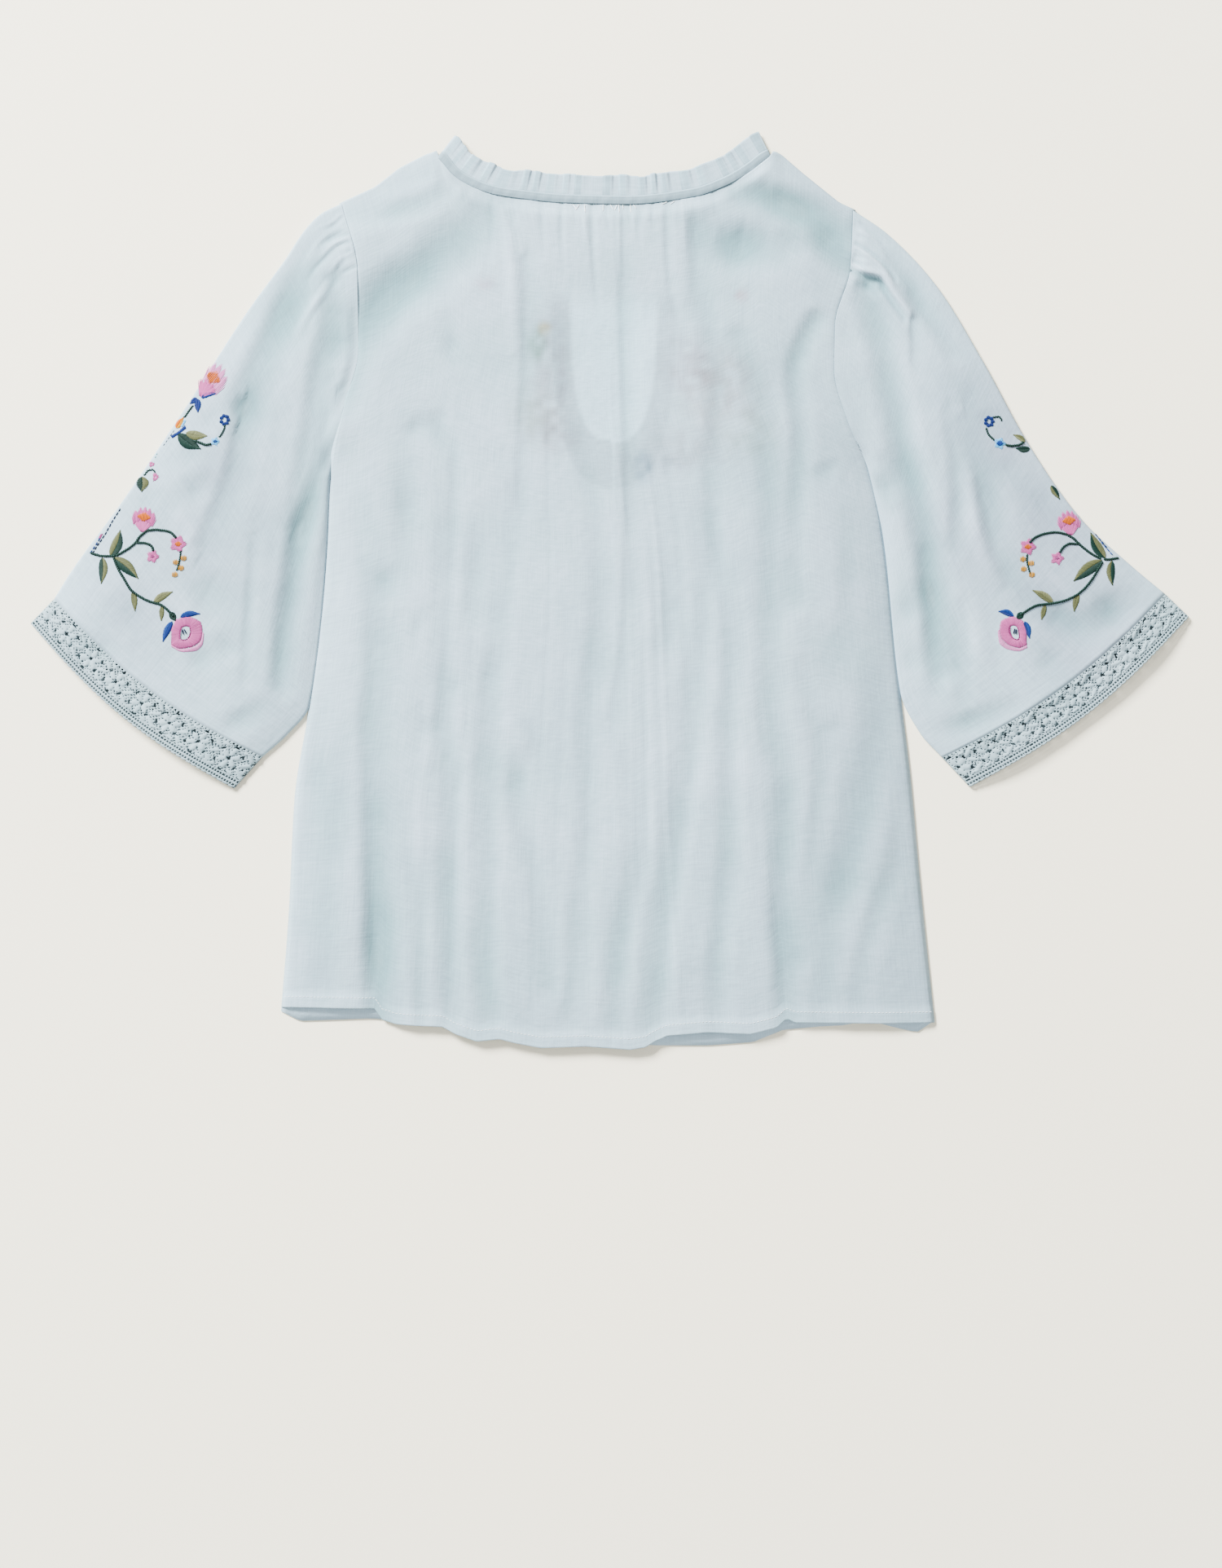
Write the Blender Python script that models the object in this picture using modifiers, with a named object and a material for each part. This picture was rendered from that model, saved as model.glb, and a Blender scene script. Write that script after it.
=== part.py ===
"""An embroidered peasant top of cotton voile, laid flat on a surface with its back up.

The tables are in millimetres and the scene is in metres. The origin lies on the surface below the middle of
the garment: +X is the viewer's right, +Y points to the neck and +Z up. "left" and "right" are the viewer's.
Each layer is a wall of cloth: the front and the sleeves' undersides lie flat on the surface, the back and
the sleeves' upper sides lie on them and carry the folds.
"""

import math

import bmesh
import bpy
import numpy as np

MM = 0.001

WALL = 1.0
SEAM_GAP = 0.3
LAYER_GAP = 0.5
# The top of the lower layer, and of an upper layer where it lies straight on the lower one
LOWER_TOP = WALL
UPPER_TOP = LOWER_TOP + LAYER_GAP + WALL

# The back's gentle fullness over the front, and how far in from a folded edge it builds up
BODY_PUFF = 5.2
SLEEVE_PUFF = 4.6
EDGE_ROUNDING = 26.0

HEM_TURNING = 9.0
HEM_EXTRA = 0.4

BACK_COLUMNS = 68
BACK_ROWS = 16
FRONT_COLUMNS = 44
# The front has the back's rows down to where the sleeves part from the body, and every other one below
FREE_ROW = 12
SLEEVE_STATIONS = 13
LACE_STATIONS = 3

BINDING_WIDTH = 6.0
BINDING_WALL = 1.2
BINDING_CROWN = 0.2
# The plain binding takes every third of the frill's columns, and all of them round the tips
BINDING_EVERY = 3
RUFFLE_WIDTH = 15.0
RUFFLE_WAVES = 42
RUFFLE_COLUMNS = 4 * RUFFLE_WAVES
RUFFLE_ROWS = 3

# Plan of the body. A side runs from the shoulder tip down the armhole, past the underarm and to the hem.
LEFT_SIDE = (
    # y, x
    (297.6, -205.8),
    (245.5, -193.4),
    (186.0, -192.8),
    (140.1, -204.6),
    (89.3, -214.5),
    (31.0, -216.4),
    (-84.9, -228.8),
    (-155.0, -239.9),
    (-241.8, -244.3),
    (-313.7, -249.9),
)
RIGHT_SIDE = (
    # y, x
    (292.6, 187.2),
    (248.0, 184.8),
    (204.6, 173.0),
    (170.5, 172.4),
    (130.2, 182.9),
    (94.9, 198.4),
    (43.4, 208.9),
    (-74.4, 221.3),
    (-136.4, 228.8),
    (-217.0, 236.2),
    (-325.5, 247.4),
)
# The shoulder lines, from each shoulder tip to the corner beside the neck
LEFT_SHOULDER = (
    # x, y
    (-205.8, 297.6),
    (-178.6, 310.0),
    (-160.0, 322.0),
    (-137.0, 336.0),
    (-133.0, 331.5),
)
RIGHT_SHOULDER = (
    # x, y
    (187.2, 292.6),
    (174.8, 298.2),
    (146.9, 321.2),
    (131.0, 335.0),
    (127.2, 331.5),
)
BACK_HEM = (
    # x, y
    (-249.9, -313.7),
    (-178.0, -315.0),
    (-174.0, -323.0),
    (-162.4, -326.7),
    (-127.1, -328.6),
    (-101.1, -339.8),
    (-83.7, -337.9),
    (-52.1, -344.7),
    (-18.0, -343.5),
    (15.5, -346.0),
    (44.0, -335.4),
    (73.8, -332.9),
    (107.3, -334.2),
    (127.1, -329.2),
    (134.5, -322.4),
    (141.4, -325.5),
    (206.5, -326.1),
    (247.4, -325.5),
)
FRONT_HEM = (
    # x, y
    (-246.0, -317.0),
    (-231.9, -324.3),
    (-178.6, -322.4),
    (-116.6, -327.0),
    (-52.1, -337.0),
    (0.0, -340.5),
    (34.1, -342.9),
    (73.8, -342.9),
    (107.3, -340.4),
    (130.0, -331.0),
    (156.2, -328.6),
    (175.0, -327.6),
    (193.4, -324.0),
    (218.2, -330.4),
    (230.0, -332.9),
    (243.0, -324.0),
)

# The U-shaped notch at the middle of the front's neckline, and the strip that faces it
NOTCH_MIDDLE = 3.0
NOTCH_HALF_WIDTH = 33.0
NOTCH_TOP = 225.5
NOTCH_BOTTOM = 116.0
FACING_MARGIN = 14.0
FACING_BOTTOM = 81.0

# Furrows between the soft folds of the back: the ends, the bow to the right halfway, the half-width to the
# left and to the right, and the depth at the top and at the bottom. An end past the edge runs out through it.
BACK_FURROWS = (
    # x0, y0, x1, y1, bow, left, right, depth0, depth1
    (-84.0, 300.0, -212.0, 130.0, -14.0, 26.0, 20.0, 2.6, 3.6),
    (-175.0, 300.0, -126.0, 318.0, 0.0, 9.0, 12.0, 2.0, 1.6),
    (-70.0, 310.0, -98.0, 185.0, 4.0, 8.0, 10.0, 1.6, 1.2),
    (-60.0, 300.0, -66.0, 75.0, 3.0, 6.0, 13.0, 2.8, 3.2),
    (-66.0, 75.0, -92.0, -400.0, -6.0, 9.0, 12.0, 2.6, 3.2),
    (-107.0, 200.0, -120.0, -400.0, -10.0, 9.0, 11.0, 1.6, 3.0),
    (-148.0, -120.0, -142.0, -400.0, 0.0, 8.0, 10.0, 1.4, 2.4),
    (-178.0, 60.0, -177.0, -400.0, 2.0, 9.0, 7.0, 0.8, 5.0),
    (-14.0, 320.0, -13.0, 90.0, 3.0, 8.0, 8.0, 2.0, 1.4),
    (-13.0, 90.0, -30.0, -400.0, 3.0, 11.0, 12.0, 1.4, 2.2),
    (11.0, 320.0, 12.5, -90.0, 2.0, 7.0, 9.0, 2.4, 2.4),
    (22.0, -90.0, 7.0, -400.0, 4.0, 11.0, 9.0, 1.4, 2.2),
    (48.0, 320.0, 37.0, 170.0, -3.0, 7.0, 8.0, 2.2, 1.4),
    (62.0, 160.0, 37.0, -400.0, 10.0, 11.0, 12.0, 1.6, 3.0),
    (72.0, 310.0, 90.0, 190.0, 0.0, 9.0, 9.0, 1.8, 1.6),
    (78.0, 180.0, 82.0, -400.0, 14.0, 9.0, 10.0, 1.6, 2.2),
    (116.0, 200.0, 134.5, -400.0, 2.0, 9.0, 10.0, 1.8, 5.2),
    (162.0, -20.0, 146.0, -300.0, 4.0, 10.0, 10.0, 1.4, 2.6),
    (212.0, -50.0, 160.0, -400.0, 12.0, 16.0, 14.0, 1.8, 3.6),
    (78.0, 256.0, 190.0, 256.0, -14.0, 13.0, 15.0, 2.6, 2.2),
    (82.0, 316.0, 192.0, 262.0, -4.0, 9.0, 10.0, 2.8, 2.2),
    (-150.0, 128.0, -138.0, 112.0, 0.0, 11.0, 11.0, 2.0, 2.0),
    (-190.0, 24.0, -160.0, 6.0, 0.0, 15.0, 15.0, 2.2, 2.2),
    (160.0, 106.0, 178.0, 88.0, 0.0, 11.0, 11.0, 2.2, 2.2),
)
# Gathers of the back's neck edge: the ridge's place along the neckline, its length and its height
NECK_GATHERS = (
    # x, length, height
    (-86.0, 34.0, 0.9),
    (-76.0, 60.0, 1.2),
    (-64.0, 46.0, 1.0),
    (-52.0, 70.0, 1.2),
    (-43.0, 52.0, 1.1),
    (-34.0, 40.0, 1.2),
    (-25.0, 26.0, 1.3),
    (-17.5, 50.0, 1.2),
    (-9.5, 30.0, 1.4),
    (-2.0, 58.0, 1.3),
    (5.5, 28.0, 1.4),
    (14.0, 44.0, 1.2),
    (23.0, 62.0, 1.1),
    (32.0, 40.0, 1.2),
    (42.0, 66.0, 1.2),
    (53.0, 48.0, 1.0),
    (63.0, 38.0, 0.9),
    (74.0, 54.0, 1.0),
)
GATHER_HALF_WIDTH = 5.2

# Plan of each sleeve: its outer and inner edges from the armhole to the lace, and the lace's free edge
LEFT_OUTER = (
    # x, y
    (-205.8, 297.6),
    (-220.7, 290.2),
    (-233.1, 277.8),
    (-248.6, 254.2),
    (-275.3, 217.0),
    (-323.0, 142.6),
    (-370.8, 71.3),
    (-409.2, 18.6),
    (-422.8, -3.1),
)
LEFT_INNER = (
    # x, y
    (-214.5, 89.3),
    (-216.4, 31.0),
    (-228.8, -84.9),
    (-244.3, -105.4),
    (-264.1, -123.4),
)
RIGHT_OUTER = (
    # x, y
    (187.2, 292.6),
    (212.0, 275.3),
    (249.2, 235.6),
    (283.3, 179.8),
    (320.5, 112.2),
    (359.6, 57.0),
    (396.8, 22.3),
    (422.8, 0.6),
)
RIGHT_INNER = (
    # x, y
    (198.4, 94.9),
    (208.9, 43.4),
    (221.3, -74.4),
    (236.2, -105.4),
    (253.0, -124.0),
)
# The lace's free edge, from its outer corner to its inner one
LEFT_LACE_EDGE = (
    # x, y
    (-440.8, -21.7),
    (-285.8, -147.6),
)
RIGHT_LACE_EDGE = (
    # x, y
    (440.8, -16.7),
    (274.0, -146.3),
)
CUFF_BULGE = 11.0
# A sleeve lies beside the body down to here, clear of it by a little more than a seam
FREE_BELOW = -90.0
BESIDE_GAP = 0.8
# The share of the sleeve's fullness that the lace keeps
LACE_FULLNESS = 0.6
# How far in a flattened tube's layers part at its folded edges
FOLD_DEPTH = 1.6

# Furrows of the sleeves, in the same columns as the back's
LEFT_SLEEVE_FURROWS = (
    (-205.0, 205.0, -226.0, 90.0, 6.0, 9.0, 12.0, 3.2, 3.4),
    (-196.0, 250.0, -262.0, 160.0, 4.0, 8.0, 8.0, 2.0, 1.2),
    (-222.0, 262.0, -276.0, 196.0, -4.0, 9.0, 9.0, 2.0, 1.4),
    (-232.0, 180.0, -262.0, -20.0, 6.0, 12.0, 12.0, 1.4, 1.6),
    (-262.0, 150.0, -318.0, -20.0, 4.0, 14.0, 14.0, 1.4, 1.8),
    (-232.0, 60.0, -246.0, -60.0, 2.0, 9.0, 9.0, 1.6, 1.8),
    (-300.0, 10.0, -330.0, -60.0, 0.0, 14.0, 12.0, 1.4, 1.8),
)
RIGHT_SLEEVE_FURROWS = (
    (196.0, 236.0, 226.0, 190.0, 0.0, 8.0, 10.0, 2.6, 1.8),
    (205.0, 262.0, 238.0, 196.0, 4.0, 7.0, 9.0, 2.4, 3.0),
    (206.0, 206.0, 242.0, 40.0, -4.0, 10.0, 12.0, 2.4, 2.8),
    (240.0, 214.0, 318.0, 30.0, -8.0, 13.0, 15.0, 1.8, 1.6),
    (236.0, 60.0, 262.0, -60.0, 2.0, 12.0, 12.0, 1.6, 1.8),
    (330.0, 60.0, 300.0, -40.0, 0.0, 14.0, 14.0, 1.4, 1.8),
)
# Pleats of the gathered caps, as ridges that fan from the seam: the ends, the half-width and the height
LEFT_CAP_PLEATS = (
    # x0, y0, x1, y1, half_width, height
    (-203.0, 290.0, -232.0, 262.0, 5.0, 1.3),
    (-200.0, 279.0, -234.0, 244.0, 5.0, 1.2),
    (-198.0, 269.0, -232.0, 226.0, 5.0, 1.2),
    (-196.0, 259.0, -226.0, 212.0, 4.5, 1.3),
    (-193.0, 250.0, -214.0, 216.0, 4.5, 1.2),
)
RIGHT_CAP_PLEATS = (
    # x0, y0, x1, y1, half_width, height
    (190.0, 284.0, 212.0, 262.0, 5.0, 1.2),
    (189.0, 275.0, 226.0, 232.0, 5.0, 1.4),
    (188.0, 266.0, 222.0, 222.0, 4.5, 1.2),
    (187.0, 258.0, 212.0, 230.0, 4.5, 1.3),
    (185.0, 250.0, 204.0, 240.0, 4.5, 1.5),
)

# Where the seam turns up into the folded tips, past which no panel follows it
TIP_CLEAR = 326.0
# The seam's curve is cut by the panels' straight stretches, so its gap is a little wider than a plain seam's,
# and the front, with its few columns, stays this much further back
NECK_GAP = 0.5
FRILL_GAP = 0.8
FRONT_NECK_INSET = 0.8
# The seam between the neck edge and the binding, right round from the notch's left corner, over the folded
# left tip, along the back's neck, over the right tip and down to the notch's right corner, with the way that
# the frill points (degrees from +X), the height of the strip's middle and that of the frill's waves there
NECK_PATH = (
    # x, y, points_to, z, on_back, wave
    (-33.0, 226.0, 86.0, 0.9, 0, 0.5),
    (-78.0, 248.0, 58.0, 0.9, 0, 0.5),
    (-112.0, 288.0, 30.0, 0.9, 0, 0.4),
    (-126.0, 318.0, 30.0, 0.9, 0, 0.1),
    (-129.0, 333.0, 62.0, 2.1, 0, 0.1),
    (-126.6, 332.4, 66.0, 3.4, 1, 0.3),
    (-112.0, 319.0, 55.0, 4.2, 1, 1.6),
    (-91.8, 308.8, 66.0, 4.6, 1, 2.0),
    (-66.0, 301.5, 76.0, 4.8, 1, 2.0),
    (-36.0, 297.6, 85.0, 5.0, 1, 2.0),
    (13.6, 296.4, 91.0, 5.0, 1, 2.0),
    (63.2, 301.9, 103.0, 4.8, 1, 2.0),
    (88.0, 310.5, 115.0, 4.6, 1, 2.0),
    (106.6, 321.2, 123.0, 4.2, 1, 1.6),
    (120.4, 332.4, 116.0, 3.4, 1, 0.3),
    (122.8, 333.0, 118.0, 2.1, 0, 0.1),
    (120.0, 318.0, 150.0, 0.9, 0, 0.1),
    (108.0, 288.0, 150.0, 0.9, 0, 0.4),
    (80.0, 248.0, 122.0, 0.9, 0, 0.5),
    (39.0, 226.0, 94.0, 0.9, 0, 0.5),
)

COLOURS = {
    # name: (red, green, blue), roughness
    "voile": ((0.58, 0.66, 0.71), 0.85),
    "lace": ((0.55, 0.63, 0.66), 0.9),
}


def smooth(knots, values, at):
    """A smooth curve through the values at the knots, with no overshoot, read at each place in `at`."""
    knots, at = np.asarray(knots), np.asarray(at)
    values = np.asarray(values)
    flat = values.ndim == 1
    values = values[:, None] if flat else values
    rise = np.diff(values, axis=0) / np.diff(knots)[:, None]
    before, after = rise[:-1], rise[1:]
    same_way = before * after > 0
    inner = np.where(same_way, 2 * before * after / np.where(same_way, before + after, 1), 0)
    slopes = np.concatenate([rise[:1], inner, rise[-1:]])
    first = np.clip(np.searchsorted(knots, at) - 1, 0, len(knots) - 2)
    step = (knots[first + 1] - knots[first])[:, None]
    t = (at - knots[first])[:, None] / step
    read = (
        (2 * t**3 - 3 * t**2 + 1) * values[first]
        + (t**3 - 2 * t**2 + t) * step * slopes[first]
        + (3 * t**2 - 2 * t**3) * values[first + 1]
        + (t**3 - t**2) * step * slopes[first + 1]
    )
    return read[:, 0] if flat else read


def lengths_along(points):
    """Distance along a line of points, from 0 to 1."""
    steps = np.linalg.norm(np.diff(points, axis=0), axis=1)
    total = np.concatenate([[0.0], np.cumsum(steps)])
    return total / total[-1]


def curve(points, at):
    """Points of the smooth curve through a table of points, at each fraction of its length."""
    points = np.array(points)
    return smooth(lengths_along(points), points, at)


def line(points, at):
    """The same along straight stretches, which keep the table's corners."""
    points = np.array(points)
    knots = lengths_along(points)
    return np.stack([np.interp(at, knots, points[:, k]) for k in (0, 1)], axis=1)


def ease(value, low, high):
    """0 below low, 1 above high and a soft step between."""
    t = np.clip((value - low) / (high - low), 0, 1)
    return t * t * (3 - 2 * t)


def rounded(inset, reach=EDGE_ROUNDING):
    """How full the cloth is at a distance in from a folded edge, as a quarter of an ellipse."""
    t = np.clip(inset / reach, 0, 1)
    return np.sqrt(t * (2 - t))


def furrow(x, y, row):
    """Depth of one furrow at each point."""
    x0, y0, x1, y1, bow, left, right, depth0, depth1 = row
    length = math.hypot(x1 - x0, y1 - y0)
    along_x, along_y = (x1 - x0) / length, (y1 - y0) / length
    t = ((x - x0) * along_x + (y - y0) * along_y) / length
    side = -(x - x0) * along_y + (y - y0) * along_x
    side = side - bow * np.sin(np.pi * np.clip(t, 0, 1))
    reach = np.where(side < 0, left, right)
    across = 0.5 + 0.5 * np.cos(np.pi * np.clip(np.abs(side) / reach, 0, 1))
    ends = ease(t, -0.04, 0.12) * ease(-t, -1.04, -0.88)
    return (depth0 + (depth1 - depth0) * np.clip(t, 0, 1)) * across * ends


def ridge(x, y, x0, y0, x1, y1, half_width, height):
    """Height of one narrow pleat or gather, which fades away from its start."""
    length = math.hypot(x1 - x0, y1 - y0)
    along_x, along_y = (x1 - x0) / length, (y1 - y0) / length
    t = ((x - x0) * along_x + (y - y0) * along_y) / length
    side = np.abs(-(x - x0) * along_y + (y - y0) * along_x)
    across = 0.5 + 0.5 * np.cos(np.pi * np.clip(side / half_width, 0, 1))
    return height * across * ease(-t, -1, -0.1) * ease(t, -0.3, -0.05)


def side_x(side, y):
    """Where the body's side is at each height, along straight stretches between the back's rows."""
    knots, places = np.array(side[::-1]).T
    rows = side[0][0] + (side[-1][0] - side[0][0]) * row_places(BACK_ROWS)
    rows = rows[::-1]
    return np.interp(y, rows, smooth(knots, places, rows))


def row_places(count):
    """Rows closer together near the neck, from 0 to 1."""
    return (np.arange(count + 1) / count) ** 1.5


def panel_plan(top, bottom, v):
    """Plan points of a panel: its top and bottom edges joined, and drawn in to the body's two sides."""
    u = np.linspace(0, 1, len(top))[:, None]
    left_y = top[0, 1] + (bottom[0, 1] - top[0, 1]) * v
    right_y = top[-1, 1] + (bottom[-1, 1] - top[-1, 1]) * v
    left_shift = side_x(LEFT_SIDE, left_y) - (top[0, 0] + (bottom[0, 0] - top[0, 0]) * v)
    right_shift = side_x(RIGHT_SIDE, right_y) - (top[-1, 0] + (bottom[-1, 0] - top[-1, 0]) * v)
    x = top[:, :1] * (1 - v) + bottom[:, :1] * v + (1 - u) * left_shift + u * right_shift
    y = top[:, 1:] * (1 - v) + bottom[:, 1:] * v
    return x, y


def neck_line(on_back):
    """Closely spaced points of a panel's edge at the neck seam, in the path's order."""
    path = np.array(NECK_PATH)
    knots = lengths_along(path[:, [0, 1, 3]])
    x, y, points_to, _, side, _ = smooth(knots, path, np.linspace(0, 1, 400)).T
    turn = np.radians(points_to)
    inset = 0.0 if on_back else FRONT_NECK_INSET
    points = np.stack([x - inset * np.cos(turn), y - inset * np.sin(turn)], axis=1)
    return points[(np.abs(side - on_back) < 0.02) & (y < TIP_CLEAR)]


def back_top_y(x):
    """Upper edge of the back at each x: shoulders and neckline."""
    knots, heights = np.vstack([LEFT_SHOULDER, neck_line(1), RIGHT_SHOULDER[::-1]]).T
    return np.interp(x, knots, heights)


def hem_y(x):
    knots, heights = np.array(BACK_HEM).T
    return np.interp(x, knots, heights)


def back_height(x, y):
    """Top of the back's cloth above the surface."""
    inset = np.minimum(x - side_x(LEFT_SIDE, y), side_x(RIGHT_SIDE, y) - x)
    below_arm = ease(-y, -135, -85)
    fullness = 1 - below_arm * (1 - rounded(np.maximum(inset, 0)))
    from_top = np.maximum(back_top_y(x) - y, 0)
    on_shoulder = ease(np.abs(x), 112, 134)
    fullness = fullness * (1 - on_shoulder * (1 - rounded(from_top)))
    fullness = fullness * (1 - 0.4 * (1 - on_shoulder) * (1 - ease(from_top, 0, 60)))
    fullness = fullness * (0.45 + 0.55 * ease(y - hem_y(x), 0, 70))
    relief = BODY_PUFF * fullness
    for row in BACK_FURROWS:
        relief = relief - furrow(x, y, row) * fullness
    for start_x, length, height in NECK_GATHERS:
        start_y = back_top_y(start_x)
        relief = relief + ridge(
            x, y, start_x, start_y, start_x, start_y - length, GATHER_HALF_WIDTH, height
        )
    return UPPER_TOP + np.maximum(relief, 0)


def sleeve_height(x, y, inset, furrows, pleats):
    """Top of a sleeve's upper layer above the surface."""
    fullness = rounded(inset)
    relief = SLEEVE_PUFF * fullness
    for row in furrows:
        relief = relief - furrow(x, y, row) * fullness
    for row in pleats:
        relief = relief + ridge(x, y, *row) * fullness
    return UPPER_TOP + np.maximum(relief, 0)


def cloth_material(name):
    colour, roughness = COLOURS[name]
    material = bpy.data.materials.get(name) or bpy.data.materials.new(name)
    material.use_nodes = True
    shader = material.node_tree.nodes["Principled BSDF"]
    shader.inputs["Base Color"].default_value = (*colour, 1.0)
    shader.inputs["Roughness"].default_value = roughness
    shader.inputs["Metallic"].default_value = 0.0
    return material


def new_piece(name, mesh, material):
    data = bpy.data.meshes.new(name)
    mesh.to_mesh(data)
    mesh.free()
    piece = bpy.data.objects.new(name, data)
    collection.objects.link(piece)
    data.materials.append(cloth_material(material))
    data.shade_smooth()
    return piece


def add_sheet(mesh, rings, closed):
    """Faces through rows of points, and the points; a closed sheet joins the end of each row to its start."""
    around = rings.shape[1]
    points = [[mesh.verts.new(point * MM) for point in ring] for ring in rings]
    for lower, upper in zip(points, points[1:]):
        for k in range(around if closed else around - 1):
            n = (k + 1) % around
            mesh.faces.new((lower[k], lower[n], upper[n], upper[k]))
    return points


def cloth(name, outer, inner, closed, material):
    """A wall of cloth between its outer and inner rows of points, joined round the open edges."""
    mesh = bmesh.new()
    skin = add_sheet(mesh, outer, closed)
    open_edges = [edge for edge in mesh.edges if edge.is_boundary]
    lining = add_sheet(mesh, inner, closed)
    partner = {a: b for ring, other in zip(skin, lining) for a, b in zip(ring, other)}
    for face in {face for ring in lining for point in ring for face in point.link_faces}:
        face.normal_flip()
    for edge in open_edges:
        start = edge.link_loops[0].vert
        end = edge.other_vert(start)
        mesh.faces.new((end, start, partner[start], partner[end]))
    return new_piece(name, mesh, material)


def panel(name, x, y, z, material="voile"):
    """A panel of cloth from the plan and the height of its upper face, given by column and row."""
    upper = np.stack([x, y, z], axis=2).transpose(1, 0, 2)[::-1]
    return cloth(name, upper, upper - [0, 0, WALL], False, material)


def strip(name, rings, wall):
    """A strip of cloth that turns over at folds: an open sheet with its wall to both sides."""
    mesh = bmesh.new()
    add_sheet(mesh, rings, False)
    piece = new_piece(name, mesh, "voile")
    thicken = piece.modifiers.new("wall", "SOLIDIFY")
    thicken.thickness = wall * MM
    thicken.offset = 0.0
    return piece


def build_back():
    """The back: columns from the neckline and shoulders to the hem, closer together at the gathers."""
    u = np.linspace(-1, 1, BACK_COLUMNS + 1)
    spread = 0.45 * u + 0.55 * np.sign(u) * np.abs(u) ** 2.2
    left, right = LEFT_SHOULDER[0][0], RIGHT_SHOULDER[0][0]
    top_x = 0.5 * (left + right) + 0.5 * (right - left) * spread
    top = np.stack([top_x, back_top_y(top_x)], axis=1)
    hem_x = BACK_HEM[0][0] + (BACK_HEM[-1][0] - BACK_HEM[0][0]) * 0.5 * (1 + 0.8 * u + 0.2 * u**3)
    bottom = np.stack([hem_x, hem_y(hem_x)], axis=1)
    v = row_places(BACK_ROWS)
    length = LEFT_SHOULDER[0][1] - BACK_HEM[0][1]
    v = np.concatenate([v[:-1], [1 - (HEM_TURNING + 1) / length, 1 - HEM_TURNING / length, 1.0]])
    x, y = panel_plan(top, bottom, v)
    z = back_height(x, y)
    z[:, -2:] += HEM_EXTRA
    return panel("back", x, y, z)


def notch(margin, depth, at):
    """The U-shaped notch, or a line round it, as a half superellipse from its left corner to its right one."""
    squareness = 2 / 2.8
    turn = np.pi * at
    across = np.sign(np.cos(turn)) * np.abs(np.cos(turn)) ** squareness
    down = np.abs(np.sin(turn)) ** squareness
    x = NOTCH_MIDDLE - (NOTCH_HALF_WIDTH + margin) * across
    return np.stack([x, NOTCH_TOP - depth * down], axis=1)


def build_front():
    """The front, flat on the surface, with its lower neckline and the notch."""
    neck = neck_line(0)
    left = neck[neck[:, 0] < NOTCH_MIDDLE][::-1]
    right = neck[neck[:, 0] > NOTCH_MIDDLE][::-1]
    cut = notch(0.0, NOTCH_TOP - NOTCH_BOTTOM, np.linspace(0, 1, 21))
    edge = np.vstack([LEFT_SHOULDER, left, cut, right, RIGHT_SHOULDER[::-1]])
    top = line(edge, np.linspace(0, 1, FRONT_COLUMNS + 1))
    hem = np.array(FRONT_HEM)
    x = np.linspace(hem[0, 0], hem[-1, 0], FRONT_COLUMNS + 1)
    bottom = np.stack([x, np.interp(x, hem[:, 0], hem[:, 1])], axis=1)
    v = row_places(BACK_ROWS)
    v = np.concatenate([v[:FREE_ROW], v[FREE_ROW::2]])
    x, y = panel_plan(top, bottom, v)
    return panel("front", x, y, np.full_like(x, LOWER_TOP))


def build_facing():
    """The strip round the notch, on the inner face of the front."""
    at = np.linspace(0, 1, 25)
    inner = notch(0.6, NOTCH_TOP - NOTCH_BOTTOM + 0.6, at)
    outer = notch(FACING_MARGIN, NOTCH_TOP - FACING_BOTTOM, at)
    plan = np.stack([inner, outer])
    x, y = plan[:, :, 0].T, plan[:, :, 1].T
    return panel("notch_facing", x, y, np.full_like(x, LOWER_TOP + SEAM_GAP + WALL))


def sleeve_plan(side, outer, inner, mirror, stations):
    """Plan points of a sleeve by station and place across, from the armhole to the lace."""
    rows = side[0][0] + (side[-1][0] - side[0][0]) * row_places(BACK_ROWS)
    rows = np.concatenate([rows[rows > inner[0][1] + 5], [inner[0][1]]])
    levels = np.sort(np.concatenate([rows, 0.5 * (rows[1:] + rows[:-1])]))[::-1]
    t = (levels[0] - levels) / (levels[0] - levels[-1])
    s = np.linspace(0, 1, stations)
    outer_edge, inner_edge = curve(outer, s), curve(inner, s)
    plan = outer_edge[:, None] * (1 - t[:, None]) + inner_edge[:, None] * t[:, None]
    armhole = np.stack([side_x(side, levels) + mirror * SEAM_GAP, levels], axis=1)
    plan += ((1 - s) ** 3)[:, None, None] * (armhole - plan[0])
    chord = inner_edge[-1] - outer_edge[-1]
    outward = np.array([chord[1], -chord[0]]) * -mirror / np.linalg.norm(chord)
    plan += (s**3)[:, None, None] * CUFF_BULGE * np.sin(np.pi * t)[:, None] * outward
    along_seam = (s[:, None] == 0) * (1 - ease(t, 0.75, 0.9))
    gap = BESIDE_GAP + (SEAM_GAP - BESIDE_GAP) * along_seam
    beside = side_x(side, plan[:, :, 1]) + mirror * gap
    near_body = plan[:, :, 1] > FREE_BELOW
    plan[:, :, 0] = np.where(
        near_body, mirror * np.maximum(mirror * plan[:, :, 0], mirror * beside), plan[:, :, 0]
    )
    return plan, t


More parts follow.
